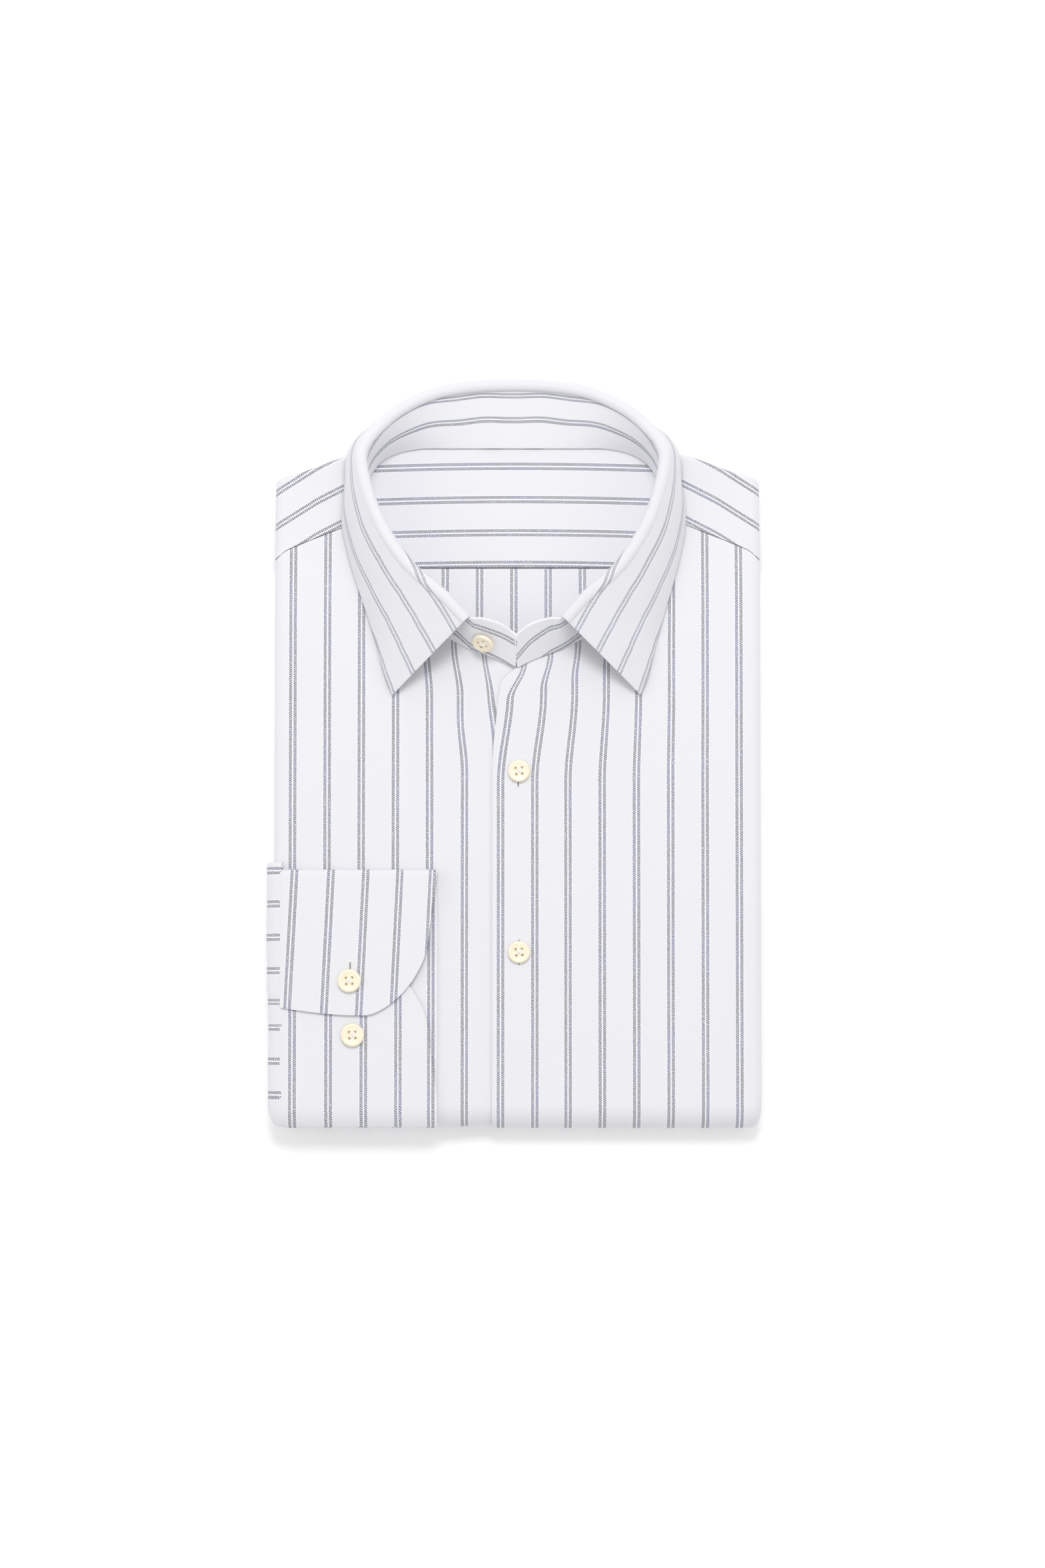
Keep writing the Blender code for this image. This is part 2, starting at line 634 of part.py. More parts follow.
def hidden_layer(name, half_width, low_y, short, depth, thickness, kind, material):
    """Rounded slab: two faces that come together in a half-round edge all round."""
    radius = thickness / 2
    rim = radius * np.array([0.0, 0.15, 0.5, 1.0])
    steps = np.linspace(radius, 2 * half_width - radius, 6)[1:-1]
    across = np.concatenate([rim, steps, 2 * half_width - rim[::-1]]) - half_width
    limit = SHOULDER_LINE if kind == "shoulder" else TAIL_LINE
    length = between(limit, np.abs(across)) - short - low_y
    inner = np.array([0.2, 0.5, 0.64, 0.74, 0.83, 0.92])
    from_low = np.concatenate([
        np.broadcast_to(rim[:, None], (len(rim), len(across))),
        inner[:, None] * length[None, :],
        length[None, :] - rim[::-1][:, None]])
    x = np.broadcast_to(across[None, :], from_low.shape)
    y = low_y + from_low
    edge = np.minimum.reduce([np.broadcast_to(half_width - np.abs(across), x.shape),
                              from_low, length[None, :] - from_low])
    bulge = np.sqrt(radius ** 2 - np.clip(radius - edge, 0, radius * 0.99) ** 2)
    if kind == "shoulder":
        middle = surface_z(x, y) - depth
    else:
        skin = CLOTH + GAP
        stack = stack_along(-TURN_LENGTH - (y - TURN_Y))
        share = (stack - 3 * skin) / (HALF_STACK - 3 * skin)
        middle = 2 * skin + (STACK_HEIGHT - depth - 2 * skin) * share
        bulge = bulge * share
    upper = np.stack([x, y, middle + bulge], axis=-1)
    lower = np.stack([x, y, middle - bulge], axis=-1)
    return closed_sheet(name, upper, lower, material)


def join_solids(first, others):
    """Union of solids by Boolean modifiers, with the others kept as hidden tools."""
    for other in others:
        union = first.modifiers.new("join_" + other.name, "BOOLEAN")
        union.operation = "UNION"
        union.solver = "EXACT"
        union.object = other
        other.hide_render = True
        other.display_type = "WIRE"
    return first


def folded_layers(material):
    """Hidden layers: back, sides and left sleeve, folded in and joined in the middle."""
    slabs = []
    for name, width, low, short, depth, thickness, kind in LAYERS:
        slabs.append(hidden_layer("layer_" + name, width * MM, low * MM, short * MM,
                                  depth * MM, thickness * MM, kind, material))
    name, width, low, short, depth, thickness, kind = HEART
    heart = hidden_layer(name, width * MM, low * MM, short * MM, depth * MM,
                         thickness * MM, kind, material)
    return join_solids(heart, slabs)


def turned(name, profile, segments, material):
    """Solid of revolution about Z from a profile of radius and height pairs."""
    points = []
    faces = []
    angles = np.linspace(0, 2 * math.pi, segments, endpoint=False)
    for radius, height in profile:
        for angle in angles:
            points.append((radius * math.cos(angle), radius * math.sin(angle), height))
    for ring in range(len(profile) - 1):
        for place in range(segments):
            following = (place + 1) % segments
            faces.append((ring * segments + place, ring * segments + following,
                          (ring + 1) * segments + following, (ring + 1) * segments + place))
    faces.append(tuple(reversed(range(segments))))
    last = (len(profile) - 1) * segments
    faces.append(tuple(last + place for place in range(segments)))
    return make_object(name, points, faces, material)


def button(name, diameter, place, facing, turn, material):
    """Four-hole button with a raised rim, its back at a place, facing outwards."""
    radius = diameter / 2
    thick = BUTTON_THICKNESS
    profile = ((radius * 0.75, 0.0), (radius, 0.45 * thick), (radius * 0.95, 0.88 * thick),
               (radius * 0.85, thick), (radius * 0.64, 0.7 * thick))
    item = turned(name, profile, 18, material)
    holes = []
    for corner in range(4):
        angle = math.radians(45 + 90 * corner)
        hole = turned(name + "_hole_" + str(corner + 1),
                      ((BUTTON_HOLE_DIAMETER / 2, -thick), (BUTTON_HOLE_DIAMETER / 2,
                                                            2 * thick)), 6, material)
        offset = BUTTON_HOLE_PITCH / math.sqrt(2)
        hole.data.transform(Matrix.Translation((offset * math.cos(angle),
                                                offset * math.sin(angle), 0)))
        hole.hide_render = True
        hole.display_type = "WIRE"
        hole.parent = item
        holes.append(hole)
    for hole in holes:
        cut = item.modifiers.new("hole", "BOOLEAN")
        cut.operation = "DIFFERENCE"
        cut.solver = "EXACT"
        cut.object = hole
    rotation = Vector((0, 0, 1)).rotation_difference(Vector(facing)).to_matrix().to_4x4()
    item.matrix_world = (Matrix.Translation(Vector(place)) @ rotation
                         @ Matrix.Rotation(turn, 4, "Z"))
    return item


def band_button_place():
    """Place and facing of the button on the left end of the band."""
    spans = 2 * (len(COLLAR_ROWS) - 1)
    foot, fold, _ = collar_section(np.linspace(0, spans, 8 * spans + 1), 0)
    base = np.concatenate([foot, foot_height(foot)[:, None]], axis=1)
    nearest = int(np.argmin(np.abs(base[:, 0] + 17.8 * MM) + 10 * (base[:, 1] > 60 * MM)))
    top = fold_arc(fold, math.radians(200))[nearest]
    up = Vector(top - base[nearest]).normalized()
    run = Vector(base[nearest + 1] - base[nearest - 1]).normalized()
    facing = up.cross(run).normalized()
    if facing.y > 0:
        facing = -facing
    middle = Vector(base[nearest]) + up * 11.0 * MM
    return middle + facing * (COLLAR_CLOTH / 2 + BAND_BUTTON_LIFT), facing


def buttons(material):
    """Buttons that show: one on the band, two on the front, two on the cuff."""
    place, facing = band_button_place()
    button("button_collar", BUTTON_DIAMETER, place, facing, 0.4, material)
    for number, y in enumerate((-9.2 * MM, -102.2 * MM), start=1):
        x = 0.8 * MM
        place = (x, y, float(surface_z(x, y)) + GAP)
        button("button_front_" + str(number), BUTTON_DIAMETER, place, (0, 0, 1), 0.1,
               material)
    low = CUFF_LIFT + CUFF_CLOTH
    middle = low + CUFF_LAYER_GAP + CUFF_CLOTH
    high = middle + GAP + CUFF_CLOTH
    spots = ((-86.0 * MM, -116.9 * MM, high), (-84.4 * MM, -144.6 * MM, middle))
    for number, (x, y, height) in enumerate(spots, start=1):
        place = (x, y, float(surface_z(x, y)) + height + GAP)
        button("button_cuff_" + str(number), CUFF_BUTTON_DIAMETER, place, (0, 0, 1), 0.05,
               material)


def build_shirt():
    """All pieces of the folded shirt."""
    clear_scene()
    shirting = make_material("striped_shirting", SHIRT_COLOUR, 0.85)
    inside = make_material("shirting_inside", INSIDE_COLOUR, 0.88)
    layers = make_material("folded_shirting", LAYER_COLOUR, 0.88)
    ivory = make_material("ivory_button", BUTTON_COLOUR, 0.35)
    front_left(shirting)
    front_right(shirting)
    yoke(shirting)
    back(inside)
    collar_band(shirting)
    collar_leaf(shirting)
    sleeve_right(shirting)
    cuff_right(shirting)
    folded_layers(layers)
    buttons(ivory)


build_shirt()
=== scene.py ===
"""Finished looks of the folded dress shirt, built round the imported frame.

Lengths are in metres. +X is to the right of the shirt as it is looked at, +Y towards
the collar, +Z up. Each cloth piece is a thin closed shell on its solid's form. Its cloth
coordinate runs across the stripes and counts stripe pairs, so a pair lies at each whole
number, and along the stripes it is measured in the same unit.
"""

import math

import bpy
import numpy as np
from mathutils import Matrix, Vector


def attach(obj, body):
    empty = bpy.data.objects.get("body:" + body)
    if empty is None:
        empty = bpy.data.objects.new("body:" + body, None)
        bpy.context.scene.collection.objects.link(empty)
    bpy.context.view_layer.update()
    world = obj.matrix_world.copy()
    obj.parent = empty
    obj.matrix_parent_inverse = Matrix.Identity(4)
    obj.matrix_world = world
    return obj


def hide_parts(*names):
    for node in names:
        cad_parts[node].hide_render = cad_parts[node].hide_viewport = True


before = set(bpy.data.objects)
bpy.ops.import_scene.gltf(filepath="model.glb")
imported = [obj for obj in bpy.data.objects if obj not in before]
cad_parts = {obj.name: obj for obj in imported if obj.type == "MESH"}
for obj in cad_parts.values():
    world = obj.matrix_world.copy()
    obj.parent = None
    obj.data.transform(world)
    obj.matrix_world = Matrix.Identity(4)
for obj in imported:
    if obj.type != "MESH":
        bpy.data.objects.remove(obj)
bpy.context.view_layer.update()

MM = 0.001

# Folded body
BODY_HALF_WIDTH = 125.2 * MM
STACK_HEIGHT = 24.0 * MM
BOTTOM_Y = -192.4 * MM
TURN_RADIUS = STACK_HEIGHT / 2
TURN_Y = BOTTOM_Y + TURN_RADIUS
TURN_LENGTH = math.pi * TURN_RADIUS
CORNER_RADIUS = 6.0 * MM
HALF_STACK = 10.2 * MM
TAIL_HEIGHT = 6.5 * MM
TAIL_THIN_START = 40.0 * MM
TAIL_THIN_END = 120.0 * MM
TAIL_Y = 118.0 * MM
TAIL_CURVE = 24.0 * MM
SIDE_RETURN = 30.0 * MM

# Relief of the upper face
SHOULDER_FALL = 8.0 * MM
SHOULDER_FALL_START = 55.0 * MM
SHOULDER_FALL_END = 160.0 * MM
NECK_RISE = 2.5 * MM
NECK_RISE_Y = 50.0 * MM
NECK_RISE_HALF_WIDTH = 45.0 * MM
NECK_RISE_HALF_LENGTH = 38.0 * MM
EDGE_FALL = 0.4 * MM

# Thickness of the solids, which sets where each piece lies, and of the shells here
SOLID_CLOTH = 1.2 * MM
SOLID_SLEEVE = 1.0 * MM
SOLID_CUFF = 1.4 * MM
SOLID_COLLAR = 1.4 * MM
CLOTH = 0.9 * MM
BACK_CLOTH = 0.7 * MM
SLEEVE_CLOTH = 0.8 * MM
CUFF_CLOTH = 1.2 * MM
COLLAR_CLOTH = 1.2 * MM
GAP = 0.3 * MM

# Underlap, back panel and the back of the neck
UNDERLAP_DIP = SOLID_CLOTH + GAP
UNDERLAP_DIP_START = -42.0 * MM
UNDERLAP_DIP_END = -17.0 * MM
BACK_DEPTH = 4.0 * MM
BACK_HALF_WIDTH = 118.0 * MM
BACK_SEAM_Y = 96.1 * MM
NECK_BACK_Y = 158.8 * MM
NECK_HALF_WIDTH = 78.0 * MM

# Collar
FOLD_RADIUS = 2.6 * MM
LEAF_BOW = 1.6 * MM
COLLAR_SHIFT_FRONT = -0.5 * MM
COLLAR_SHIFT_BACK = -2.3 * MM
BAND_FOOT_LIFT = 0.3 * MM
BAND_TOP_ANGLE = math.radians(200)
LEAF_START_ANGLE = math.radians(190)
LEAF_END_ANGLE = math.radians(15)

# Right sleeve
SLEEVE_CORNER = 3.8 * MM
SLEEVE_HALF_WIDTH = 128.6 * MM
SLEEVE_WALL_GAP = 0.4 * MM
SLEEVE_TOP_Y = -57.0 * MM
SLEEVE_LOW_ALONG = 4.0 * MM
SLEEVE_TURN_ANGLE = math.radians(42)
SLEEVE_LOW_OVERHANG = 1.4 * MM
SLEEVE_VENT = 0.9 * MM
SLEEVE_PUFF = 0.22 * MM

# Right cuff
CUFF_SEAM_X = -121.6 * MM
CUFF_WRIST_X = -41.0 * MM
CUFF_TOP_Y = -60.5 * MM
CUFF_END_Y = -134.5 * MM
CUFF_LOWER_END_Y = -104.0 * MM
CUFF_TURN_ANGLE = math.radians(48)
CUFF_LIFT = 0.5 * MM
CUFF_LAYER_GAP = 0.6 * MM
CUFF_BULGE = 0.4 * MM
CUFF_BULGE_LENGTH = 60.0 * MM
CUFF_END_RISE = 3.9 * MM
CUFF_RISE_WIDTH = 36.0 * MM
CUFF_SEAM_DIP = 0.36

# Buttons
BUTTON_DIAMETER = 11.4 * MM
CUFF_BUTTON_DIAMETER = 12.0 * MM
BUTTON_THICKNESS = 2.4 * MM
BUTTON_HOLE_DIAMETER = 1.35 * MM
BUTTON_HOLE_PITCH = 3.1 * MM
FRONT_BUTTON_1 = (0.8 * MM, -9.2 * MM)
FRONT_BUTTON_2 = (0.8 * MM, -102.2 * MM)
CUFF_BUTTON_1 = (-86.0 * MM, -116.9 * MM)
CUFF_BUTTON_2 = (-84.4 * MM, -144.6 * MM)
BAND_BUTTON_X = -17.8 * MM
BAND_BUTTON_UP = 11.0 * MM
BAND_BUTTON_LIFT = 1.1 * MM
DISH = 0.88
THREAD = 0.36 * MM
HOLE_THREAD = 0.26 * MM
SLIT_HALF_WIDTH = 0.16 * MM

# Stripes
PITCH = 17.6 * MM
LEAF_PITCH = 16.8 * MM
FLAP_PITCH = 18.0 * MM
BACK_PITCH = 17.7 * MM
BACK_STRIPE_SHIFT = 1.9 * MM

# Pattern of a stripe pair, in millimetres: middle of a line from the middle of the pair,
# half width of a line and of the whole pair, period and slope of the diagonal hatch,
# periods of the twill and of the ribs across it
LINE_OFFSET = 1.16
LINE_HALF_WIDTH = 0.92
PAIR_HALF_WIDTH = 2.5
HATCH_PERIOD = 0.94
HATCH_SLOPE = 0.5
WEAVE_PERIOD = 0.5
RIB_PERIOD = 0.42

# Photograph and camera
PHOTO_HEIGHT = 2352
PHOTO_SCALE = 0.3425 * MM
CAMERA_LENS = 100.0
CAMERA_SENSOR = 36.0
CAMERA_TILT = math.radians(87.0)
CAMERA_TARGET = (2.57 * MM, -15.84 * MM, STACK_HEIGHT)

# Light: strength of the white surroundings and of the floor's own glow, then the soft
# lights aimed at the shirt, with name, place, size and power
WORLD_STRENGTH = 0.70
FLOOR_GLOW = 0.07
LIGHTS = (
    ("overhead", (0.0, 0.85, 1.85), 0.6, 16.0),
    ("left", (-1.3, 0.1, 1.2), 1.2, 2.4),
    ("right", (1.3, 0.1, 1.2), 1.2, 1.8),
)

# Finishes of the cloth: colour of the ground, colour between the two lines of a pair,
# strength of the lines
WEAVE_BUMP = 0.35
CLOTH_LOOKS = {
    "striped_shirting_look": ((0.795, 0.795, 0.825, 1), (0.89, 0.89, 0.93, 1), 1.0),
    "collar_shirting_look": ((0.795, 0.795, 0.825, 1), (0.89, 0.89, 0.93, 1), 0.8),
    # The band's ground and the colour between its lines are painted lighter than the rest of
    # the cloth: painted light that makes up for the shade inside the collar.
    "collar_band_painted_light_look": ((0.88, 0.88, 0.91, 1), (0.94, 0.94, 0.97, 1), 0.96),
    "shirting_inside_look": ((0.80, 0.80, 0.83, 1), (0.90, 0.90, 0.93, 1), 0.96),
    # The hidden layers' ground is painted darker than the outer cloth: painted shade between
    # the folds.
    "folded_shirting_painted_shade_look": ((0.76, 0.76, 0.795, 1), (0.88, 0.88, 0.92, 1), 0.8),
}

# Front edge of the upper front, from the neck down: y, x in millimetres
FRONT_EDGE = (
    (-14.5, -13.2),
    (6.8, -12.2),
    (17.0, -11.1),
    (31.4, -9.4),
    (38.3, -7.4),
    (43.4, -1.2),
)

# Seam between front and yoke, by distance from the middle: x, y in millimetres
YOKE_SEAM = (
    (76.0, 123.5),
    (88.0, 118.2),
    (98.9, 113.8),
    (112.5, 108.2),
    (121.0, 104.0),
    (125.2, 99.8),
)

# Shoulder line, by distance from the middle: x, y in millimetres
SHOULDER_LINE = (
    (0.0, 158.8),
    (60.0, 158.8),
    (79.5, 156.2),
    (93.3, 152.7),
    (110.1, 146.5),
    (125.2, 142.2),
)

# Lower edge of the hidden layers under the folded-up tail: x, y in millimetres
TAIL_LINE = (
    (0.0, 118.0),
    (125.2, 94.0),
)

# One half of the collar from the front end to the middle of the back, in millimetres:
# foot x, foot y, fold x, fold y, fold z, edge x, edge y, edge z
COLLAR_ROWS = (
    (0.4, 43.9, 0.4, 57.2, 46.5, 0.0, 0.0, 0.0),
    (8.0, 47.8, 8.0, 62.6, 49.5, 0.0, 0.0, 0.0),
    (18.0, 51.6, 17.0, 65.4, 51.5, 0.0, 0.0, 0.0),
    (27.5, 55.6, 25.3, 66.4, 53.5, 63.7, 30.0, 26.3),
    (38.5, 62.0, 37.0, 79.0, 54.5, 67.6, 40.5, 26.6),
    (52.0, 73.5, 51.5, 91.5, 54.5, 71.8, 57.4, 26.4),
    (63.0, 89.0, 62.5, 106.0, 54.0, 78.0, 77.5, 24.9),
    (71.0, 106.5, 70.3, 121.0, 53.0, 84.4, 99.0, 22.8),
    (75.6, 123.0, 75.3, 136.0, 52.0, 88.4, 120.0, 20.5),
    (76.0, 139.0, 77.6, 149.0, 50.0, 86.6, 140.0, 18.7),
    (70.5, 150.0, 76.0, 156.5, 47.8, 86.0, 153.0, 18.4),
    (61.5, 156.0, 70.5, 164.5, 43.5, 80.5, 160.8, 11.0),
    (48.0, 158.8, 58.0, 176.0, 38.0, 62.0, 162.0, 3.0),
    (32.0, 158.8, 40.0, 185.2, 33.0, 41.0, 162.0, 1.5),
    (16.0, 158.8, 20.0, 189.0, 31.0, 20.0, 162.0, 1.5),
    (0.0, 158.8, 0.0, 189.8, 30.5, 0.0, 162.0, 1.5),
)
FOOT = slice(0, 2)
FOLD = slice(2, 5)
EDGE = slice(5, 8)
LEAF_FIRST_ROW = 3

# Round corner at the end of the cuff, in millimetres: distance from the end, cut back
CUFF_CORNER = (
    (0.0, 36.0),
    (0.7, 33.3),
    (2.8, 28.7),
    (6.2, 23.5),
    (9.7, 19.4),
    (15.7, 14.2),
    (22.1, 10.1),
    (28.0, 7.2),
    (36.0, 5.0),
    (47.0, 3.7),
    (74.0, 0.0),
)

# Hidden layers, from the top down, in millimetres: name, half width, lowest y, how far
# short of the shoulder line or the tail they end, depth of the middle, thickness, which
# of the two ends them
LAYERS = (
    ("upper", 117.5, -184.0, 3.5, 6.75, 3.2, "shoulder"),
    ("sleeve", 117.5, -55.0, 6.0, 11.9, 2.3, "shoulder"),
    ("lower", 113.0, -182.0, 3.0, 16.9, 3.0, "tail"),
    ("lowest", 113.0, -181.0, 2.0, 19.6, 2.7, "tail"),
    ("heart", 86.0, -176.0, 84.0, 12.6, 14.6, "shoulder"),
)

# Finish and cut of what shows of each piece, and what it lies on: node, finish, width and
# length in millimetres, pieces beneath. The cut of sleeve_right is all round its tube
SHEETS = (
    ("front_left", "striped_shirting_look", 172.0, 620.0, ("layer_upper", "front_right")),
    ("front_right", "striped_shirting_look", 176.0, 620.0, ("layer_upper", "back")),
    ("yoke", "striped_shirting_look", 250.0, 110.0, ("layer_upper",)),
    ("back", "shirting_inside_look", 236.0, 272.0, ("layer_upper",)),
    ("collar_band", "collar_band_painted_light_look", 370.0, 32.0, ("yoke", "front_left", "front_right")),
    ("collar_leaf", "collar_shirting_look", 390.0, 45.0, ("collar_band",)),
    ("sleeve_right", "striped_shirting_look", 275.0, 42.0, ("front_right",)),
    ("cuff_right", "striped_shirting_look", 80.0, 300.0, ("front_right",)),
)

# Soft ridges (positive) and troughs (negative) of the upper face, in millimetres:
# start x, start y, end x, end y, half width, height
CREASES = (
    (-24, 44, -19, -40, 7, -0.55),
    (-34, 36, -44, -30, 9, 0.35),
    (6, 30, 12, -60, 9, 0.40),
    (24, 34, 21, -30, 8, -0.35),
    (47, 20, 40, -90, 12, 0.45),
    (62, 60, 70, -20, 9, -0.40),
    (83, 80, 78, 10, 10, 0.35),
    (100, 88, 104, 20, 8, -0.35),
    (66, -40, 74, -150, 11, -0.50),
    (96, -20, 92, -120, 10, 0.35),
    (22, -95, 26, -172, 9, -0.45),
    (48, -120, 52, -176, 8, 0.35),
    (-30, -60, -27, -165, 8, -0.65),
    (-72, 78, -64, 4, 10, -0.40),
    (-88, 60, -92, -30, 9, 0.40),
    (-108, 84, -106, -20, 8, -0.35),
    (-56, -10, -60, -90, 11, 0.35),
    (-8, -130, -2, -176, 8, 0.30),
)

# Soft ridges of the underside, in the same columns
UNDER_CREASES = (
    (-84, 60, -70, -120, 10, 0.26),
    (-30, 90, -44, -60, 8, 0.22),
    (18, 70, 6, -140, 12, 0.28),
    (58, 84, 70, -20, 9, 0.24),
    (96, 40, 88, -110, 8, 0.22),
)

# How far the cloth beside the front edge follows its bend: x in millimetres, share
EDGE_SLACK = (
    (-13.2, 1.0),
    (-8.0, 0.85),
    (0.0, 0.6),
    (9.0, 0.35),
    (19.0, 0.15),
    (31.0, 0.05),
    (44.0, 0.0),
)

# Leans of the stripes towards the neck, in millimetres: amount, x of the middle, half
# width, y where the lean starts and y where it is full
LEANS_LEFT = ((5.0, -3.7, 55.0, -15.0, 31.0),)
LEANS_RIGHT = (
    (2.4, -28.0, 9.0, -10.0, 20.0),
    (4.0, -3.0, 8.0, 36.0, 47.0),
    (3.4, -13.0, 6.0, 2.0, 38.0),
)

# Stripe pairs on the body of each front, x in millimetres
PAIRS_LEFT = (-26.2, -8.7, 8.9, 25.9, 43.5, 61.1, 78.7, 96.4, 113.9)
PAIRS_RIGHT = (-115.6, -97.8, -80.3, -62.7, -45.2, -27.2, -11.0, 6.6, 24.2)

# Stripe pairs on the two layers of the cuff, x in millimetres at the top of the cuff
PAIRS_CUFF_UPPER = (-114.2, -95.4, -77.6, -60.1, -43.5)
PAIRS_CUFF_LOWER = (-115.3, -96.8, -78.8, -61.1, -44.4)
CUFF_STRIPE_LEAN = 3.6 * MM

# Stripe pairs on the sleeve, y in millimetres
PAIRS_SLEEVE = (-196.0, -175.1, -158.0, -140.5, -127.8, -111.7, -94.6, -77.5, -60.4, -43.3)

# First stripe pair on the yoke's flaps: distance from the middle, y in millimetres
FLAP_PAIR = (
    (70.0, 148.5),
    (82.0, 142.0),
    (103.3, 131.0),
    (125.2, 116.9),
)

# Stripe pairs on the part of the yoke seen through the neck, y in millimetres
PAIRS_YOKE = (79.0, 96.9, 113.4, 130.9, 148.4)

# Stripe pairs on the leaf by collar row: row, distance of the first and of the second
# pair from the top of the fold in millimetres
LEAF_PAIRS = (
    (3.0, 9.0, 25.3),
    (4.0, 5.0, 22.0),
    (4.5, 2.2, 18.6),
    (5.0, -2.2, 15.4),
    (6.0, -7.0, 13.7),
    (7.0, -7.6, 13.9),
    (9.0, -7.6, 9.8),
    (15.0, -7.6, 12.1),
)

# Stripe pairs on the band by collar row: row, height of the lower pair above the foot on
# the left and on the right of the picture, distance to the pair above, in millimetres
BAND_PAIRS = (
    (0.0, -0.9, -10.3, 17.6),
    (1.0, 0.2, -4.0, 17.6),
    (2.0, 1.5, 1.3, 17.6),
    (2.5, 3.0, 2.4, 17.6),
    (3.3, 8.0, 4.5, 17.6),
    (6.0, 11.0, 10.0, 16.0),
    (10.0, 14.5, 14.5, 13.6),
    (15.0, 16.3, 16.3, 12.8),
)

# Section of a button from its back, round the rim and in to the dish: share of its
# radius, share of its thickness
BUTTON_PROFILE = (
    (0.55, 0.0),
    (0.80, 0.02),
    (0.93, 0.16),
    (0.985, 0.34),
    (1.0, 0.52),
    (0.99, 0.70),
    (0.95, 0.87),
    (0.89, 0.97),
    (0.83, 1.0),
    (0.77, 0.985),
    (0.70, 0.94),
    (0.62, 0.90),
    (0.54, 0.885),
    (0.48, DISH),
)


def ease(value, start, end):
    """Smooth step from 0 at start to 1 at end."""
    part = np.clip((value - start) / (end - start), 0.0, 1.0)
    return part * part * (3.0 - 2.0 * part)


def bell(value, centre, width):
    """Bell curve: 1 at its centre, falling off over its width on both sides."""
    return np.exp(-((value - centre) / width) ** 2)


def column(table, index):
    """One column of a millimetre table, in metres."""
    return np.array([row[index] for row in table]) * MM


def hermite(part, step, low, high, low_slope, high_slope):
    """Cubic from low to high at a part of its step, with the slopes given at its ends."""
    square, cube = part ** 2, part ** 3
    return ((2 * cube - 3 * square + 1) * low + (cube - 2 * square + part) * step * low_slope
            + (3 * square - 2 * cube) * high + (cube - square) * step * high_slope)


def smooth_between(table, value):
    """Second column of a table at a value of its first, by cubic Hermite spans."""
    xs, ys = column(table, 0), column(table, 1)
    slopes = np.gradient(ys, xs)
    value = np.clip(value, xs[0], xs[-1])
    low = np.clip(np.searchsorted(xs, value, side="right") - 1, 0, len(xs) - 2)
    step = xs[low + 1] - xs[low]
    return hermite((value - xs[low]) / step, step, ys[low], ys[low + 1], slopes[low],
                   slopes[low + 1])


def curve_through(rows, samples):
    """Smooth curve through the rows, sampled at row numbers, by cubic Hermite spans."""
    slopes = np.gradient(rows, axis=0)
    low = np.clip(np.floor(samples).astype(int), 0, len(rows) - 2)
    return hermite((samples - low)[:, None], 1.0, rows[low], rows[low + 1], slopes[low],
                   slopes[low + 1])


def ridges(table, x, y):
    """Sum of soft ridges: each falls off as a bell across it and fades at both ends."""
    total = np.zeros(np.broadcast(x, y).shape)
    for start_x, start_y, end_x, end_y, half, height in table:
        run_x, run_y = (end_x - start_x) * MM, (end_y - start_y) * MM
        length = math.hypot(run_x, run_y)
        off_x, off_y = x - start_x * MM, y - start_y * MM
        along = (off_x * run_x + off_y * run_y) / length
        across = (off_x * run_y - off_y * run_x) / length
        wander = 1.6 * MM * np.sin(along / (19 * MM) + start_x)
        fade = ease(along, -0.12 * length, 0.35 * length)
        fade = fade * (1 - ease(along, 0.6 * length, 1.12 * length))
        total = total + height * MM * fade * bell(across, -wander, half * MM)
    return total


def creases(x, y):
    """Soft folds of the upper face, none at the bottom turn."""
    return ridges(CREASES, x, y) * ease(y, TURN_Y, TURN_Y + 14 * MM)


def relief(x, y):
    """Height of the upper face above or below the level stack.

    A bell-shaped rise at the neck, less the fall to the shoulder and a fourth-power fall
    to the side edges, and the soft folds.
    """
    rise = NECK_RISE * (bell(x, 0.0, NECK_RISE_HALF_WIDTH)
                        * bell(y, NECK_RISE_Y, NECK_RISE_HALF_LENGTH))
    fall = SHOULDER_FALL * ease(y, SHOULDER_FALL_START, SHOULDER_FALL_END)
    edge = EDGE_FALL * (np.abs(x) / BODY_HALF_WIDTH) ** 4
    return rise - fall - edge * ease(y, TURN_Y, TURN_Y + 60 * MM) + creases(x, y)


def surface_z(x, y):
    """Height of the shirt's upper face at a place."""
    return STACK_HEIGHT + relief(x, y)


def lay(x, along, depth, half_width=BODY_HALF_WIDTH, corner_radius=CORNER_RADIUS):
    """Place points on the folded body.

    x runs across, along is the distance up the cloth from where the bottom turn starts
    (negative round the turn and on along the underside), and depth is measured inwards
    from the outer face. Side on, the cloth is level, then a half circle, then level
    again. The corners of the turn are quarter circles in plan, from half_width in.
    """
    angle = np.clip(-along, 0.0, TURN_LENGTH) / TURN_RADIUS
    upper = np.maximum(along, 0.0)
    under = np.maximum(-along - TURN_LENGTH, 0.0)
    radius = TURN_RADIUS - depth
    start = half_width - corner_radius
    reach = np.clip((np.abs(x) - start) / corner_radius, 0, 1)
    corner = corner_radius * (1 - np.sqrt(1 - reach ** 2))
    near_turn = 1 - ease(upper + under, 0.0, 25 * MM)
    y = TURN_Y + upper + under - radius * np.sin(angle) + corner * near_turn
    on_top = np.where(along > 0, 1.0, 0.0)
    beneath = ease(under, 0.0, 20 * MM) * ridges(UNDER_CREASES, x, TURN_Y + under)
    z = TURN_RADIUS + radius * np.cos(angle) + on_top * relief(x, TURN_Y + upper) + beneath
    return np.stack(np.broadcast_arrays(x, y, z), axis=-1)


def farthest(x):
    """Distance from the middle, held at its greatest where the section turns back."""
    return np.maximum.accumulate(np.abs(x))


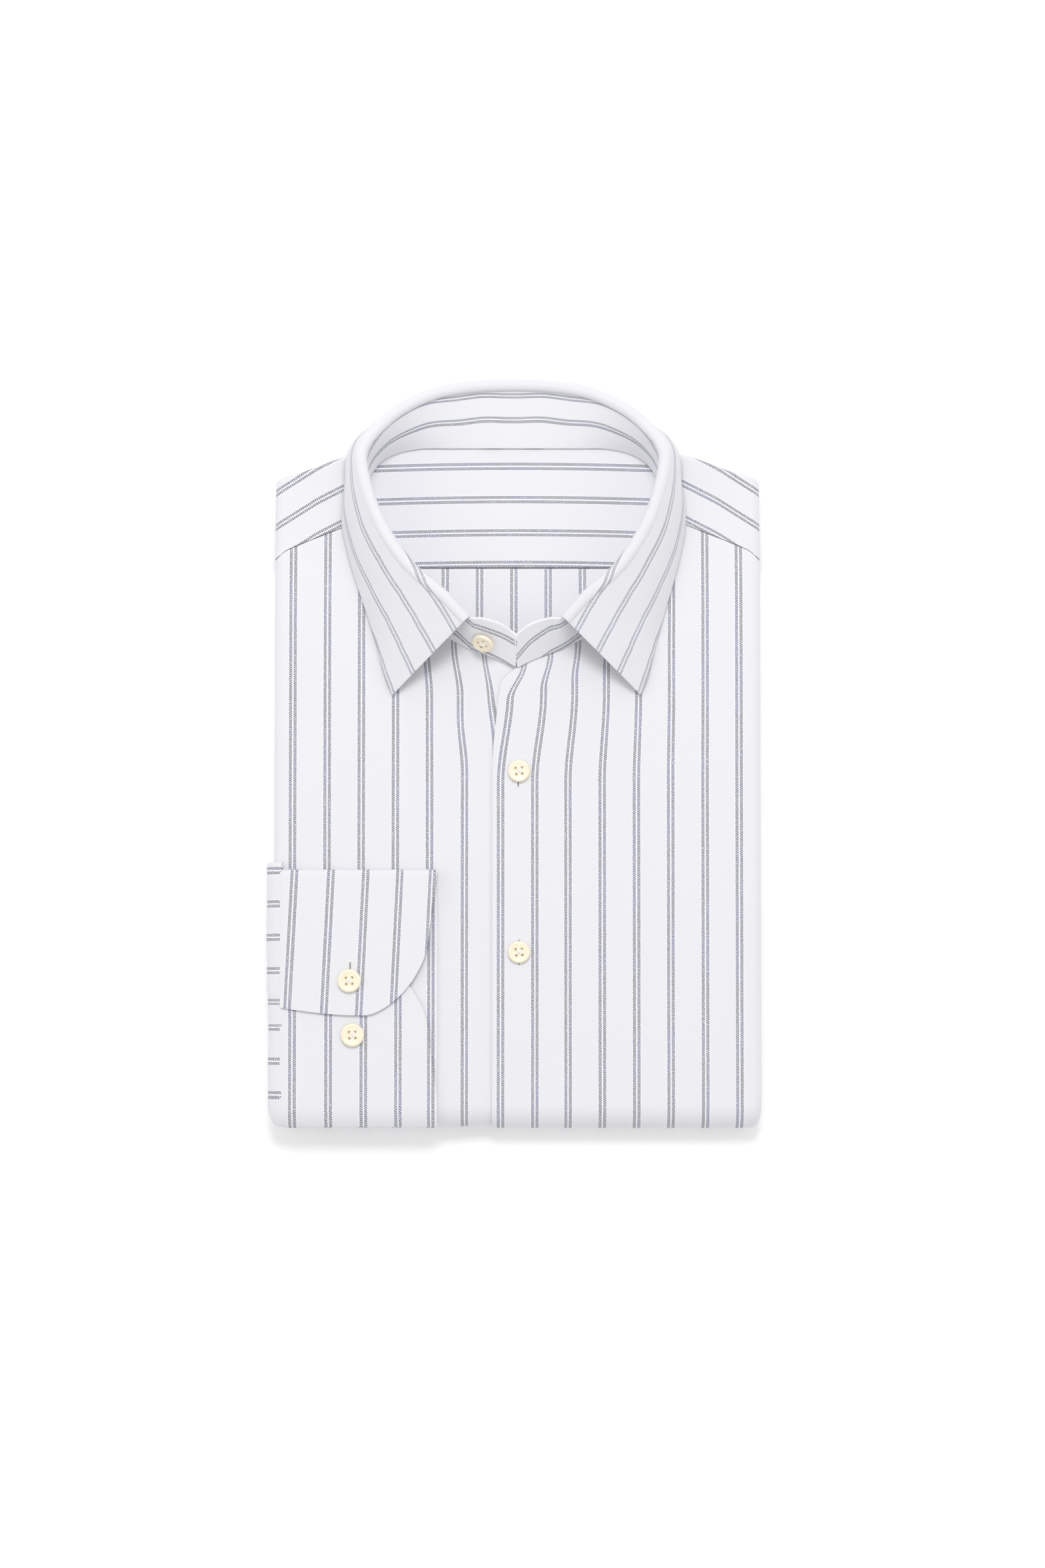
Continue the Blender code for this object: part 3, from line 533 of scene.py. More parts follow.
def surface_normals(grid, closed=False):
    """Unit normals of a grid of points, from its differences both ways."""
    if closed:
        down = np.roll(grid, -1, axis=0) - np.roll(grid, 1, axis=0)
    else:
        down = np.gradient(grid, axis=0)
    across = np.gradient(grid, axis=1)
    normals = np.cross(down, across)
    return normals / np.maximum(np.linalg.norm(normals, axis=2, keepdims=True), 1e-12)


def run_length(grid, axis):
    """Distance along the grid lines of one axis, from their first point."""
    steps = np.linalg.norm(np.diff(grid, axis=axis), axis=2)
    padding = [(0, 0), (0, 0)]
    padding[axis] = (1, 0)
    return np.pad(np.cumsum(steps, axis=axis), padding)


def add_object(name, data):
    """Object at the origin with its mesh, light or camera, put in the scene."""
    item = bpy.data.objects.new(name, data)
    bpy.context.scene.collection.objects.link(item)
    return item


def build_mesh(name, points, faces, uv, material):
    """Object from arrays of points and four-cornered faces, with its cloth coordinate."""
    used, compact = np.unique(faces, return_inverse=True)
    faces = compact.reshape(faces.shape)
    points, uv = points[used], uv[used]
    mesh = bpy.data.meshes.new(name)
    mesh.vertices.add(len(points))
    mesh.vertices.foreach_set("co", points.astype(np.float32).ravel())
    mesh.loops.add(faces.size)
    mesh.loops.foreach_set("vertex_index", faces.astype(np.int32).ravel())
    mesh.polygons.add(len(faces))
    mesh.polygons.foreach_set("loop_start", np.arange(0, faces.size, 4, dtype=np.int32))
    mesh.update(calc_edges=True)
    layer = mesh.uv_layers.new(name="cloth")
    layer.data.foreach_set("uv", uv[faces.ravel()].astype(np.float32).ravel())
    mesh.materials.append(material)
    mesh.shade_smooth()
    return add_object(name, mesh)


def cell_faces(mask, rows, columns, count):
    """Faces of the two sides of a masked grid of cells and of the rim that joins them."""
    row, place = np.nonzero(mask)
    below = (row + 1) % rows
    corners = np.stack([row * columns + place, below * columns + place,
                        below * columns + place + 1, row * columns + place + 1], axis=1)
    wide = np.pad(mask, ((0, 0), (1, 1)))
    left_open = ~wide[row, place]
    right_open = ~wide[row, place + 2]
    if len(mask) == rows:
        above_open = ~mask[row - 1, place]
        below_open = ~mask[below, place]
    else:
        tall = np.pad(mask, ((1, 1), (0, 0)))
        above_open = ~tall[row, place]
        below_open = ~tall[row + 2, place]
    parts = [corners, corners[:, ::-1] + count]
    for start, end, is_open in ((0, 1, left_open), (1, 2, below_open), (2, 3, right_open),
                                (3, 0, above_open)):
        a, b = corners[is_open, start], corners[is_open, end]
        parts.append(np.stack([b, a, a + count, b + count], axis=1))
    return np.concatenate(parts)


def cloth_shell(name, grid, thickness, uv, material, mask=None, closed=False):
    """Closed shell of even thickness on both sides of a grid of points, rim rounded."""
    rows, columns = grid.shape[:2]
    if mask is None:
        mask = np.ones((rows if closed else rows - 1, columns - 1), dtype=bool)
    offset = surface_normals(grid, closed) * thickness / 2
    points = np.concatenate([(grid + offset).reshape(-1, 3), (grid - offset).reshape(-1, 3)])
    faces = cell_faces(mask, rows, columns, rows * columns)
    both = np.concatenate([uv.reshape(-1, 2), uv.reshape(-1, 2)])
    item = build_mesh(name, points, faces, both, material)
    round_rim(item, thickness)
    return item


def round_rim(item, thickness):
    """Rounds the sharp edges of a shell."""
    bevel = item.modifiers.new("rounded_rim", "BEVEL")
    bevel.width = 0.36 * thickness
    bevel.segments = 2
    bevel.limit_method = "ANGLE"
    bevel.angle_limit = math.radians(55)


def pair_index(positions, value):
    """Stripe coordinate: 0, 1, 2 at the given places in millimetres, and on past them."""
    places = np.array(positions) * MM
    inner = np.interp(value, places, np.arange(len(places)))
    before = np.minimum(value - places[0], 0.0) / PITCH
    after = np.maximum(value - places[-1], 0.0) / PITCH
    return inner + before + after


def side_section(flat, stack, curl_steps=14, return_steps=10):
    """Across the body: flat, round the side edge, and a short return beneath.

    Gives the distance outwards from the middle and the depth of the wall's middle, as
    rows by columns, where stack is the height of the half that the side wraps.
    """
    stack = np.asarray(stack)[:, None]
    radius = (stack - SOLID_CLOTH) / 2
    centre = BODY_HALF_WIDTH - SOLID_CLOTH / 2 - radius
    skin = CLOTH / 2
    angles = np.linspace(0.0, math.pi, curl_steps + 1)[None, :]
    wide = radius + (SOLID_CLOTH - CLOTH) / 2
    curl_out = centre + wide * np.sin(angles)
    curl_depth = skin + wide * (1 - np.cos(angles))
    share = (np.arange(return_steps) + 1)[None, :] / return_steps
    return_out = centre - (SIDE_RETURN - radius) * share
    return_depth = np.broadcast_to(stack - skin, return_out.shape)
    flat_out = np.broadcast_to(flat, (len(stack), len(flat)))
    flat_depth = np.full(flat_out.shape, skin)
    out = np.concatenate([flat_out, curl_out, return_out], axis=1)
    depth = np.concatenate([flat_depth, curl_depth, return_depth], axis=1)
    return out, depth


def collar_shift(y):
    """Sideways shift of the collar, which sits a little to one side at the back."""
    share = ease(y, 30 * MM, 150 * MM)
    return COLLAR_SHIFT_FRONT + (COLLAR_SHIFT_BACK - COLLAR_SHIFT_FRONT) * share


def front_top(x):
    """Upper edge of a front: the neck seam near the middle, then the yoke seam."""
    across = np.abs(x)
    neck = np.interp(across, column(COLLAR_ROWS[:9], 0), column(COLLAR_ROWS[:9], 1))
    yoke = smooth_between(YOKE_SEAM, across) - GAP
    return np.where(across < 76 * MM, neck, yoke)


def stack_along(along):
    """Height of the half stack that the sides wrap, along the cloth."""
    under = np.maximum(-along - TURN_LENGTH, 0.0) + TURN_Y
    return HALF_STACK - (HALF_STACK - TAIL_HEIGHT) * ease(under, TAIL_THIN_START, TAIL_THIN_END)


def front_rows(top_along, hem_along):
    """Distances along the cloth for each row, from the upper edge to the hem."""
    upper = 1 - np.linspace(0.0, 1.0, 125)
    turn = -TURN_LENGTH * np.linspace(0.0, 1.0, 21)[1:]
    under = np.linspace(0.0, 1.0, 61)[1:]
    top = top_along[None, :] * upper[:, None]
    middle = np.broadcast_to(turn[:, None], (len(turn), len(top_along)))
    bottom = -TURN_LENGTH + (hem_along[None, :] + TURN_LENGTH) * under[:, None]
    return np.concatenate([top, middle, bottom], axis=0)


def leans(table, x, y):
    """Sideways lean of the stripes: a sum of bells across, each easing in up the shirt."""
    total = np.zeros(np.broadcast(x, y).shape)
    for amount, middle, half, start, full in table:
        total = total + (amount * MM * bell(x, middle * MM, half * MM)
                         * ease(y, start * MM, full * MM))
    return total


def stripe_shift_left(x, y):
    """How far the stripes of the upper front lean to the right towards the neck."""
    fade = np.exp(-np.maximum(x - 2 * MM, 0.0) / (20 * MM))
    pull = 8.0 * MM * fade * ease(y - 0.33 * x, 29 * MM, 45 * MM)
    return leans(LEANS_LEFT, x, y) + pull


def stripe_shift_right(x, y):
    """How far the stripes of the under front lean to the left towards the neck."""
    fade = bell(np.maximum(-30 * MM - x, 0.0), 0.0, 20 * MM)
    pull = 3.8 * MM * fade * ease(y, 30 * MM, 56 * MM)
    return -(leans(LEANS_RIGHT, x, y) + pull)


def front_panel(name, side, flat_x, slack, material):
    """One front from its neck and yoke seams, round the bottom turn to its tail hem.

    Rows run down the cloth and columns from the front edge outwards, round the side.
    Each column is the side section at its row, laid on the folded body. slack is how far
    each flat column follows the bent stretch of the front edge.
    """
    flat = len(flat_x)
    low_edge = FRONT_EDGE[0][1] * MM
    top_edge = FRONT_EDGE[-1][1] * MM
    out = side_section(side * flat_x, np.array([HALF_STACK]))[0][0]
    seam_x = farthest(out)
    seam_x[:flat] = flat_x + (top_edge - low_edge) * slack
    top_y = front_top(seam_x)
    hem_y = TAIL_Y - TAIL_CURVE * (out / BODY_HALF_WIDTH) ** 2
    along = front_rows(top_y - TURN_Y, -TURN_LENGTH - (hem_y - TURN_Y))
    out, depth = side_section(side * flat_x, stack_along(along[:, -1]))
    x = side * out
    y = TURN_Y + np.maximum(along, 0.0)
    x[:, :flat] += (smooth_between(FRONT_EDGE, y[:, :flat]) - low_edge) * slack[None, :]
    if side < 0:
        depth = depth + UNDERLAP_DIP * ease(x, UNDERLAP_DIP_START, UNDERLAP_DIP_END)
    grid = lay(x, along, depth)
    round_side = run_length(np.stack([side * out, depth], axis=-1), 1)
    cloth_x = x.copy()
    cloth_x[:, flat:] = x[:, flat - 1:flat] + side * (round_side[:, flat:]
                                                      - round_side[:, flat - 1:flat])
    if side > 0:
        stripe = pair_index(PAIRS_LEFT, cloth_x - stripe_shift_left(x, y))
    else:
        stripe = pair_index(PAIRS_RIGHT, cloth_x - stripe_shift_right(x, y))
    uv = np.stack([stripe, along / PITCH], axis=-1)
    return cloth_shell(name, grid, CLOTH, uv, material)


def front_left(material):
    """Wearer's left front, on the right of the picture, which lies over the other."""
    flat_x = np.linspace(-13.2, 118.0, 66) * MM
    slack = np.interp(flat_x, column(EDGE_SLACK, 0), column(EDGE_SLACK, 1) / MM)
    return front_panel("visual_front_left", 1.0, flat_x, slack, material)


def front_right(material):
    """Wearer's right front, which runs on under the other as far as the underlap."""
    flat_x = -np.linspace(-17.0, 118.0, 68) * MM
    return front_panel("visual_front_right", -1.0, flat_x, np.zeros(len(flat_x)), material)


def yoke_stripe(x, y, in_neck):
    """Stripe coordinate of the yoke: slanted on the flaps, level where the neck shows it."""
    pair = np.interp(np.abs(x), column(FLAP_PAIR, 0), column(FLAP_PAIR, 1))
    arch = 1.2 * MM * (1 - (x / (70 * MM)) ** 2)
    return np.where(in_neck, pair_index(PAIRS_YOKE, y - arch), (y - pair) / FLAP_PITCH)


def yoke_rows(across, seam, shoulder, inset):
    """Rows of the yoke from its front seam to its back seam.

    They run evenly up the flap, round the shoulder line on a half circle of radius inset,
    and down behind it at twice that depth. Gives y, the shift inwards and the distance
    along the cloth, as rows by columns, and the numbers of rows up the flap and turned.
    """
    flap = np.linspace(0.0, 1.0, 22)[:, None]
    angle = np.linspace(0.0, math.pi, 13)[1:, None]
    behind = np.linspace(0.0, 1.0, 36)[1:, None]
    top = shoulder - inset
    up = seam + (top - seam) * flap
    start = np.where(across < NECK_HALF_WIDTH, NECK_BACK_Y, top)
    over = top + inset * np.sin(angle)
    over[-1] = start
    fall = (start - BACK_SEAM_Y - GAP) * behind
    y = np.concatenate([up, over, start - fall])
    inward = np.concatenate([0 * flap, inset * (1 - np.cos(angle)), 2 * inset + 0 * behind])
    cloth = np.concatenate([up, top + inset * angle, top + math.pi * inset + fall])
    return y, inward, cloth, len(flap), len(flap) + len(angle)


def yoke(material):
    """Yoke: two flaps in front, the turn at the shoulder line and the part behind it.

    Columns run across from one side's curl to the other's. Rows run from the front seam
    over the shoulder line and down the back part to the back seam. Each row is the side
    section, shifted inwards along its own normal.
    """
    inner = np.linspace(79.5, 118.0, 18) * MM
    curl_steps = 12
    wing_x, wing_depth = side_section(inner, np.array([HALF_STACK]), curl_steps, 4)
    wing_x, wing_depth = wing_x[0], wing_depth[0]
    middle = np.linspace(-76, 76, 61) * MM
    x = np.concatenate([-wing_x[::-1], middle, wing_x])
    depth = np.concatenate([wing_depth[::-1], np.full(len(middle), CLOTH / 2), wing_depth])
    wing = farthest(wing_x)
    across = np.concatenate([wing[::-1], np.abs(middle), wing])
    curl_angle = np.arccos(np.clip(1 - (depth - CLOTH / 2) / ((HALF_STACK - CLOTH) / 2),
                                   -1, 1))
    y, inward, cloth, flap_rows, turned_rows = yoke_rows(
        across, smooth_between(YOKE_SEAM, across), smooth_between(SHOULDER_LINE, across),
        (BACK_DEPTH - SOLID_CLOTH / 2) / 2)
    along = y - TURN_Y
    grid = lay(x - np.sign(x) * inward * np.sin(curl_angle), along,
               depth + inward * np.cos(curl_angle))
    mask = np.ones((grid.shape[0] - 1, grid.shape[1] - 1), dtype=bool)
    mask[:turned_rows - 1, len(wing) - 1:len(wing) + len(middle)] = False
    hidden = len(wing_x) - len(inner) - curl_steps // 3 - 1
    mask[flap_rows - 1:, :hidden] = False
    mask[flap_rows - 1:, -hidden:] = False
    is_behind = np.arange(len(along))[:, None] >= turned_rows - 1
    in_neck = is_behind & (across < NECK_HALF_WIDTH)[None, :]
    stripe = yoke_stripe(np.broadcast_to(x, along.shape), np.where(in_neck, y, cloth), in_neck)
    uv = np.stack([stripe, run_length(grid, 1) / PITCH], axis=-1)
    return cloth_shell("visual_yoke", grid, CLOTH, uv, material, mask)


def back(material):
    """Back panel from the yoke seam down, lying flat under the fronts."""
    x = np.linspace(-BACK_HALF_WIDTH, BACK_HALF_WIDTH, 95)[None, :]
    y = np.concatenate([np.linspace(95.8, -60, 90), np.linspace(-66, -176, 30)])[:, None] * MM
    grid = lay(x, y - TURN_Y, BACK_DEPTH)
    stripe = np.broadcast_to((x + BACK_STRIPE_SHIFT) / BACK_PITCH, grid.shape[:2])
    along = np.broadcast_to(y / PITCH, grid.shape[:2])
    return cloth_shell("visual_back", grid, BACK_CLOTH, np.stack([stripe, along], axis=-1),
                       material)


def collar_section(samples, first_row):
    """Foot, fold and leaf edge of the whole ring at row numbers of both halves.

    samples runs from 0 at the front end on the left of the picture, through the middle
    of the back, to the front end on the right.
    """
    last = len(COLLAR_ROWS) - 1
    table = np.array(COLLAR_ROWS) * MM
    mirrored = table[::-1][1:].copy()
    left = table[first_row:].copy()
    left[:, [0, 2, 5]] *= -1
    ring = curve_through(np.concatenate([left, mirrored[:last - first_row]]), samples)
    parts = [ring[:, FOOT].copy(), ring[:, FOLD].copy(), ring[:, EDGE].copy()]
    for part in parts:
        part[:, 0] += collar_shift(part[:, 1])
    return parts


def collar_row(samples, first_row):
    """Row number in the table, the same on both halves, and the side of the picture."""
    spans = 2 * (len(COLLAR_ROWS) - 1 - first_row)
    on_left = samples < spans / 2
    return first_row + np.where(on_left, samples, spans - samples), on_left


def foot_height(foot):
    """Height of the neck seam: on the fronts, then down to the yoke behind the shoulder."""
    x, y = foot[:, 0], foot[:, 1]
    on_top = surface_z(x, y) + GAP
    behind = surface_z(x, y) - BACK_DEPTH + SOLID_CLOTH / 2 + GAP
    return on_top + (behind - on_top) * ease(y, 124 * MM, 142 * MM)


def outward(fold):
    """Level unit vectors that point away from the neck, across the fold line."""
    along = np.gradient(fold, axis=0)
    normal = np.stack([-along[:, 1], along[:, 0], 0 * along[:, 0]], axis=1)
    normal = normal / np.linalg.norm(normal, axis=1, keepdims=True)
    facing = np.sum(normal * (fold - np.array([0.0, 115 * MM, 0.0])), axis=1)
    return normal * np.sign(facing)[:, None]


def fold_arc(fold, angle):
    """Point of the roll at an angle, 0 outside, 90 degrees on top, 180 inside."""
    up = np.array([0.0, 0.0, 1.0])
    centre = fold - up * FOLD_RADIUS
    return (centre + outward(fold) * FOLD_RADIUS * math.cos(angle)
            + up * FOLD_RADIUS * math.sin(angle))


def band_lines():
    """Row numbers, foot and top of the band along the whole ring."""
    spans = 2 * (len(COLLAR_ROWS) - 1)
    samples = np.linspace(0, spans, 8 * spans + 1)
    foot, fold, _ = collar_section(samples, 0)
    base = np.concatenate([foot, foot_height(foot)[:, None]], axis=1)
    return samples, base, fold_arc(fold, BAND_TOP_ANGLE)


def collar_band(material):
    """Band from the neck seam up to the start of the leaf, its front ends left bare.

    A straight line from foot to top is carried round the ring of the neck.
    """
    samples, base, top = band_lines()
    base[:, 2] += BAND_FOOT_LIFT
    upward = top - base
    length = np.linalg.norm(upward, axis=1, keepdims=True)
    shares = np.linspace(0.0, 1.0, 22)[None, :, None]
    grid = base[:, None, :] + (upward * (1 - GAP / length))[:, None, :] * shares
    row, on_left = collar_row(samples, 0)
    table = np.array(BAND_PAIRS)
    side = np.where(on_left, np.interp(row, table[:, 0], table[:, 1]),
                    np.interp(row, table[:, 0], table[:, 2]))
    pitch = np.interp(row, table[:, 0], table[:, 3])
    wave = 0.35 * np.sin(row * 4.1) * ease(row, 5.0, 8.0)
    above = run_length(grid, 1) / MM - (side + wave)[:, None]
    stripe = above / (pitch[:, None] * np.where(above < 0, 1.4, 1.0))
    uv = np.stack([stripe, run_length(grid, 0) / PITCH], axis=-1)
    return cloth_shell("visual_collar_band", grid, COLLAR_CLOTH, uv, material)


def collar_leaf(material):
    """Leaf from the top of the band, over the roll and down to its pointed free edge.

    An arc of the roll and a line down, bowed out by a half sine, are carried round the
    fold line.
    """
    spans = 2 * (len(COLLAR_ROWS) - 1 - LEAF_FIRST_ROW)
    samples = np.linspace(0, spans, 8 * spans + 1)
    _, fold, edge = collar_section(samples, LEAF_FIRST_ROW)
    angles = np.linspace(LEAF_START_ANGLE, LEAF_END_ANGLE, 19)
    rows = [fold_arc(fold, angle) for angle in angles]
    start = rows[-1]
    for share in np.linspace(0.0, 1.0, 31)[1:]:
        bow = LEAF_BOW * math.sin(math.pi * share)
        rows.append(start + (edge - start) * share + outward(fold) * bow)
    grid = np.stack(rows, axis=1)
    from_top = run_length(grid, 1) - (LEAF_START_ANGLE - math.pi / 2) * FOLD_RADIUS
    row, _ = collar_row(samples, LEAF_FIRST_ROW)
    table = np.array(LEAF_PAIRS)
    first = np.interp(row, table[:, 0], table[:, 1])[:, None] * MM
    second = np.interp(row, table[:, 0], table[:, 2])[:, None] * MM
    inner = (from_top - first) / (second - first)
    stripe = np.where(inner < 1, inner, 1 + (from_top - second) / LEAF_PITCH)
    uv = np.stack([stripe, run_length(grid, 0) / PITCH], axis=-1)
    return cloth_shell("visual_collar_leaf", grid, COLLAR_CLOTH, uv, material)


def sleeve_path(radius):
    """Way of the flat sleeve's middle across the body, from the groove to the cuff.

    A level run inside the groove, then an arc of the given radius round the side edge.
    Gives x, depth, the outward direction in both, and the climb from 0 to 1.
    """
    centre_x = -(BODY_HALF_WIDTH - HALF_STACK / 2)
    centre_depth = HALF_STACK / 2
    inside = np.linspace(26.0, 2.0, 12) * MM
    angles = np.radians(np.linspace(-90, 85, 43))
    level = np.zeros(len(inside))
    x = np.concatenate([centre_x + inside, centre_x - radius * np.cos(angles)])
    depth = np.concatenate([level + centre_depth + radius,
                            centre_depth - radius * np.sin(angles)])
    out_x = np.concatenate([level, -np.cos(angles)])
    out_depth = np.concatenate([level + 1, -np.sin(angles)])
    climb = np.concatenate([level, (np.sin(angles) + 1) / 2])
    return x, depth, out_x, out_depth, climb


def sleeve_loop():
    """Way round the flat tube, as columns.

    Gives the share of its width from the upper end, the wall (1 outer, -1 inner, and the
    cosine between round the ends) and how far past the end (the sine).
    """
    shares = np.linspace(0.0, 1.0, 66)
    ends = np.radians(np.linspace(0, 180, 7)[1:-1])
    flat, turn = np.ones(len(shares)), np.ones(len(ends))
    share = np.concatenate([shares, turn, shares[::-1], 0 * turn])
    wall = np.concatenate([flat, np.cos(ends), -flat, -np.cos(ends)])
    past = np.concatenate([0 * flat, np.sin(ends), 0 * flat, -np.sin(ends)])
    return share[:, None], wall[:, None], past[:, None]


def sleeve_right(material):
    """Wearer's right sleeve: a flattened tube out of the side groove, round the edge.

    Rows go round the flat tube, columns follow it from the groove up to the cuff. The
    outer wall stands off a little more in its upper half and puffs in a slow sine.
    """
    spread = (SOLID_SLEEVE + SLEEVE_WALL_GAP) / 2
    radius = HALF_STACK / 2 + 1.9 * GAP + SOLID_SLEEVE + SLEEVE_WALL_GAP / 2
    path_x, path_depth, out_x, out_depth, climb = sleeve_path(radius)
    share, wall, past = sleeve_loop()
    top_along = SLEEVE_TOP_Y - TURN_Y
    fall = climb * (SLEEVE_LOW_ALONG + TURN_RADIUS * SLEEVE_TURN_ANGLE)
    bottom_along = SLEEVE_LOW_ALONG - fall - SLEEVE_LOW_OVERHANG * ease(climb, 0.3, 0.75)
    along = top_along + (bottom_along - top_along) * share - past * spread
    outer = wall > 0
    vent = SLEEVE_VENT * outer * (1 - ease(share, 0.50, 0.535)) * ease(climb, 0.0, 0.5)
    puff = SLEEVE_PUFF * np.sin(share * 23.0 + 1.2 * wall) * ease(climb, 0.1, 0.6)
    lift = spread * wall + vent + puff * outer * np.sin(math.pi * share)
    grid = lay(path_x + out_x * lift, along, path_depth + out_depth * lift,
               SLEEVE_HALF_WIDTH, SLEEVE_CORNER)
    level = TURN_Y + along
    laid = level + (grid[:, :, 1] - level) * ease(along, -2 * MM, 3 * MM)
    uv = np.stack([pair_index(PAIRS_SLEEVE, laid), run_length(grid, 1) / PITCH], axis=-1)
    return cloth_shell("visual_sleeve_right", grid, SLEEVE_CLOTH, uv, material, closed=True)


def cuff_heights():
    """Heights of the cuff's three layers above the front: low, middle and high."""
    low = CUFF_LIFT + SOLID_CUFF / 2
    middle = low + SOLID_CUFF + CUFF_LAYER_GAP
    return low, middle, middle + SOLID_CUFF + GAP


def cuff_path():
    """Side view of the cuff: distance along the body, height above it, layer number.

    From the end of the upper layer over the top turn, back beneath, round the bottom
    turn and up the lower layer to its hidden end, all levels and half circles. Also
    gives the run of each point and its distance from the nearer end.
    """
    low, middle, high = cuff_heights()
    top_along = CUFF_TOP_Y - TURN_Y
    bottom_along = -TURN_RADIUS * CUFF_TURN_ANGLE
    end_along = CUFF_END_Y - TURN_Y
    lower_end = CUFF_LOWER_END_Y - TURN_Y
    big, small = (high - low) / 2, (middle - low) / 2
    turn_steps = bottom_along * np.linspace(0.04, 0.96, 14)
    upper = np.linspace(0.0, 1.0, 52) ** 1.4
    top_turn = np.radians(np.linspace(0, 180, 9)[1:-1])
    beneath = 1 - np.linspace(0.0, 1.0, 40)
    low_turn = np.radians(np.linspace(0, 180, 9))
    lower = 1 - np.linspace(1.0, 0.0, 44) ** 1.3
    stretches = (
        (end_along + (top_along - big - end_along) * upper, high, 0.0),
        (top_along - big + big * np.sin(top_turn), low + big + big * np.cos(top_turn), 0.0),
        ((top_along - big) * beneath, low, 1.0),
        (turn_steps, low, 1.0),
        (bottom_along + small - small * np.sin(low_turn),
         low + small - small * np.cos(low_turn), 1.0),
        (turn_steps[::-1], middle, 1.0),
        (lower_end * lower, middle, 1.0),
    )
    path = np.concatenate([np.stack(np.broadcast_arrays(*stretch), axis=1)
                           for stretch in stretches])
    steps = np.linalg.norm(np.diff(path[:, :2], axis=0), axis=1)
    run = np.concatenate([[0.0], np.cumsum(steps)])
    return path[:, 0], path[:, 1], path[:, 2], run, np.minimum(run, run[-1] - run)


def cuff_lift(x, y):
    """How far the free end of the upper layer of the cuff rises off the lower one."""
    across = np.clip((x - CUFF_SEAM_X) / (CUFF_WRIST_X - CUFF_SEAM_X), 0.0, 1.0)
    return CUFF_BULGE * np.sin(math.pi * across) * bell(y, CUFF_END_Y, CUFF_BULGE_LENGTH)


def cuff_right(material):
    """Right cuff: one strip wound into a flat tube, its ends lapped, corners round.

    Rows follow the side view of the cuff and columns run from its seam to the wrist edge,
    which is cut back round the corners. Towards its end the upper layer's stripes lean,
    and its lower edge climbs to the seam.
    """
    along, height, layer, run, from_end = cuff_path()
    wrist = CUFF_WRIST_X - smooth_between(CUFF_CORNER, from_end)
    shares = np.linspace(0.0, 1.0, 40)[None, :]
    x = CUFF_SEAM_X + (wrist[:, None] - CUFF_SEAM_X) * shares
    upper = layer[:, None] < 0.5
    lift = cuff_lift(x, TURN_Y + along[:, None]) * upper
    near_end = ease(-run[:, None], -60 * MM, 0.0) * upper
    slope = CUFF_END_RISE * (1 - np.clip((x - CUFF_SEAM_X) / CUFF_RISE_WIDTH, 0, 1)) ** 1.5
    sewn = 1 - CUFF_SEAM_DIP * (1 - ease(x, CUFF_SEAM_X - 2 * MM, CUFF_SEAM_X + 9 * MM))
    grid = lay(x, along[:, None] + slope * near_end, -height[:, None] * sewn - lift)
    down = (CUFF_TOP_Y - TURN_Y - along[:, None]) / (CUFF_TOP_Y - CUFF_END_Y)
    on_upper = pair_index(PAIRS_CUFF_UPPER, x + CUFF_STRIPE_LEAN * np.clip(down, 0, 1))
    stripe = np.where(upper, on_upper, pair_index(PAIRS_CUFF_LOWER, x))
    uv = np.stack([stripe, np.broadcast_to(run[:, None] / PITCH, x.shape)], axis=-1)
    return cloth_shell("visual_cuff_right", grid, CUFF_CLOTH, uv, material)


def rounded_steps(length, radius, count):
    """Places from 0 to each length: close together within a radius of both ends."""
    rim = radius * (1 - np.cos(np.linspace(0, math.pi / 2, 7)))[:, None]
    inner = np.linspace(0.0, 1.0, count)[1:-1, None]
    return np.concatenate([rim + 0 * length, radius + inner * (length - 2 * radius),
                           length - rim[::-1]])


def slab_middle(x, y, depth, kind):
    """Height of a hidden slab's middle, and the share of its thickness that is left.

    Below the fronts it lies at an even depth under the upper face. In the tail it is
    pressed down in proportion as the folded tail thins.
    """
    if kind == "shoulder":
        return surface_z(x, y) - depth, 1.0
    skin = SOLID_CLOTH + GAP
    stack = stack_along(-TURN_LENGTH - (y - TURN_Y))
    share = (stack - 3 * skin) / (HALF_STACK - 3 * skin)
    return 2 * skin + (STACK_HEIGHT - depth - 2 * skin) * share, share


def hidden_layer(name, half_width, low_y, short, depth, thickness, kind, material):
    """Rounded slab: two faces that come together in a half-round edge all round.

    The half thickness at a point is the half-round of its distance from the edge.
    """
    radius = thickness / 2
    across = rounded_steps(np.array([2 * half_width]), radius, 60)[:, 0] - half_width
    limit = SHOULDER_LINE if kind == "shoulder" else TAIL_LINE
    length = smooth_between(limit, np.abs(across)) - short - low_y
    from_low = rounded_steps(length, radius, 90)
    x, y = np.broadcast_arrays(across[None, :], low_y + from_low)
    edge = np.minimum.reduce([half_width - np.abs(x), from_low, length - from_low])
    bulge = np.sqrt(radius ** 2 - np.clip(radius - edge, 0, radius * 0.995) ** 2)
    middle, share = slab_middle(x, y, depth, kind)
    points = np.concatenate([np.stack([x, y, middle + side * bulge * share], axis=-1)
                             .reshape(-1, 3) for side in (1, -1)])
    rows, columns = x.shape
    mask = np.ones((rows - 1, columns - 1), dtype=bool)
    faces = cell_faces(mask, rows, columns, rows * columns)[:, ::-1]
    uv = np.stack([x / PITCH, y / PITCH], axis=-1).reshape(-1, 2)
    return build_mesh("visual_layer_" + name, points, faces, np.concatenate([uv, uv]),
                      material)


def tube_faces(rings, sides):
    """Faces between rings of points, one after another, and across both ends."""
    place = np.arange(sides)
    following = (place + 1) % sides
    start = sides * np.arange(rings - 1)[:, None]
    walls = np.stack([start + place, start + following, start + sides + following,
                      start + sides + place], axis=-1).reshape(-1, 4)
    return walls.tolist() + [place[::-1].tolist(), (place + sides * (rings - 1)).tolist()]


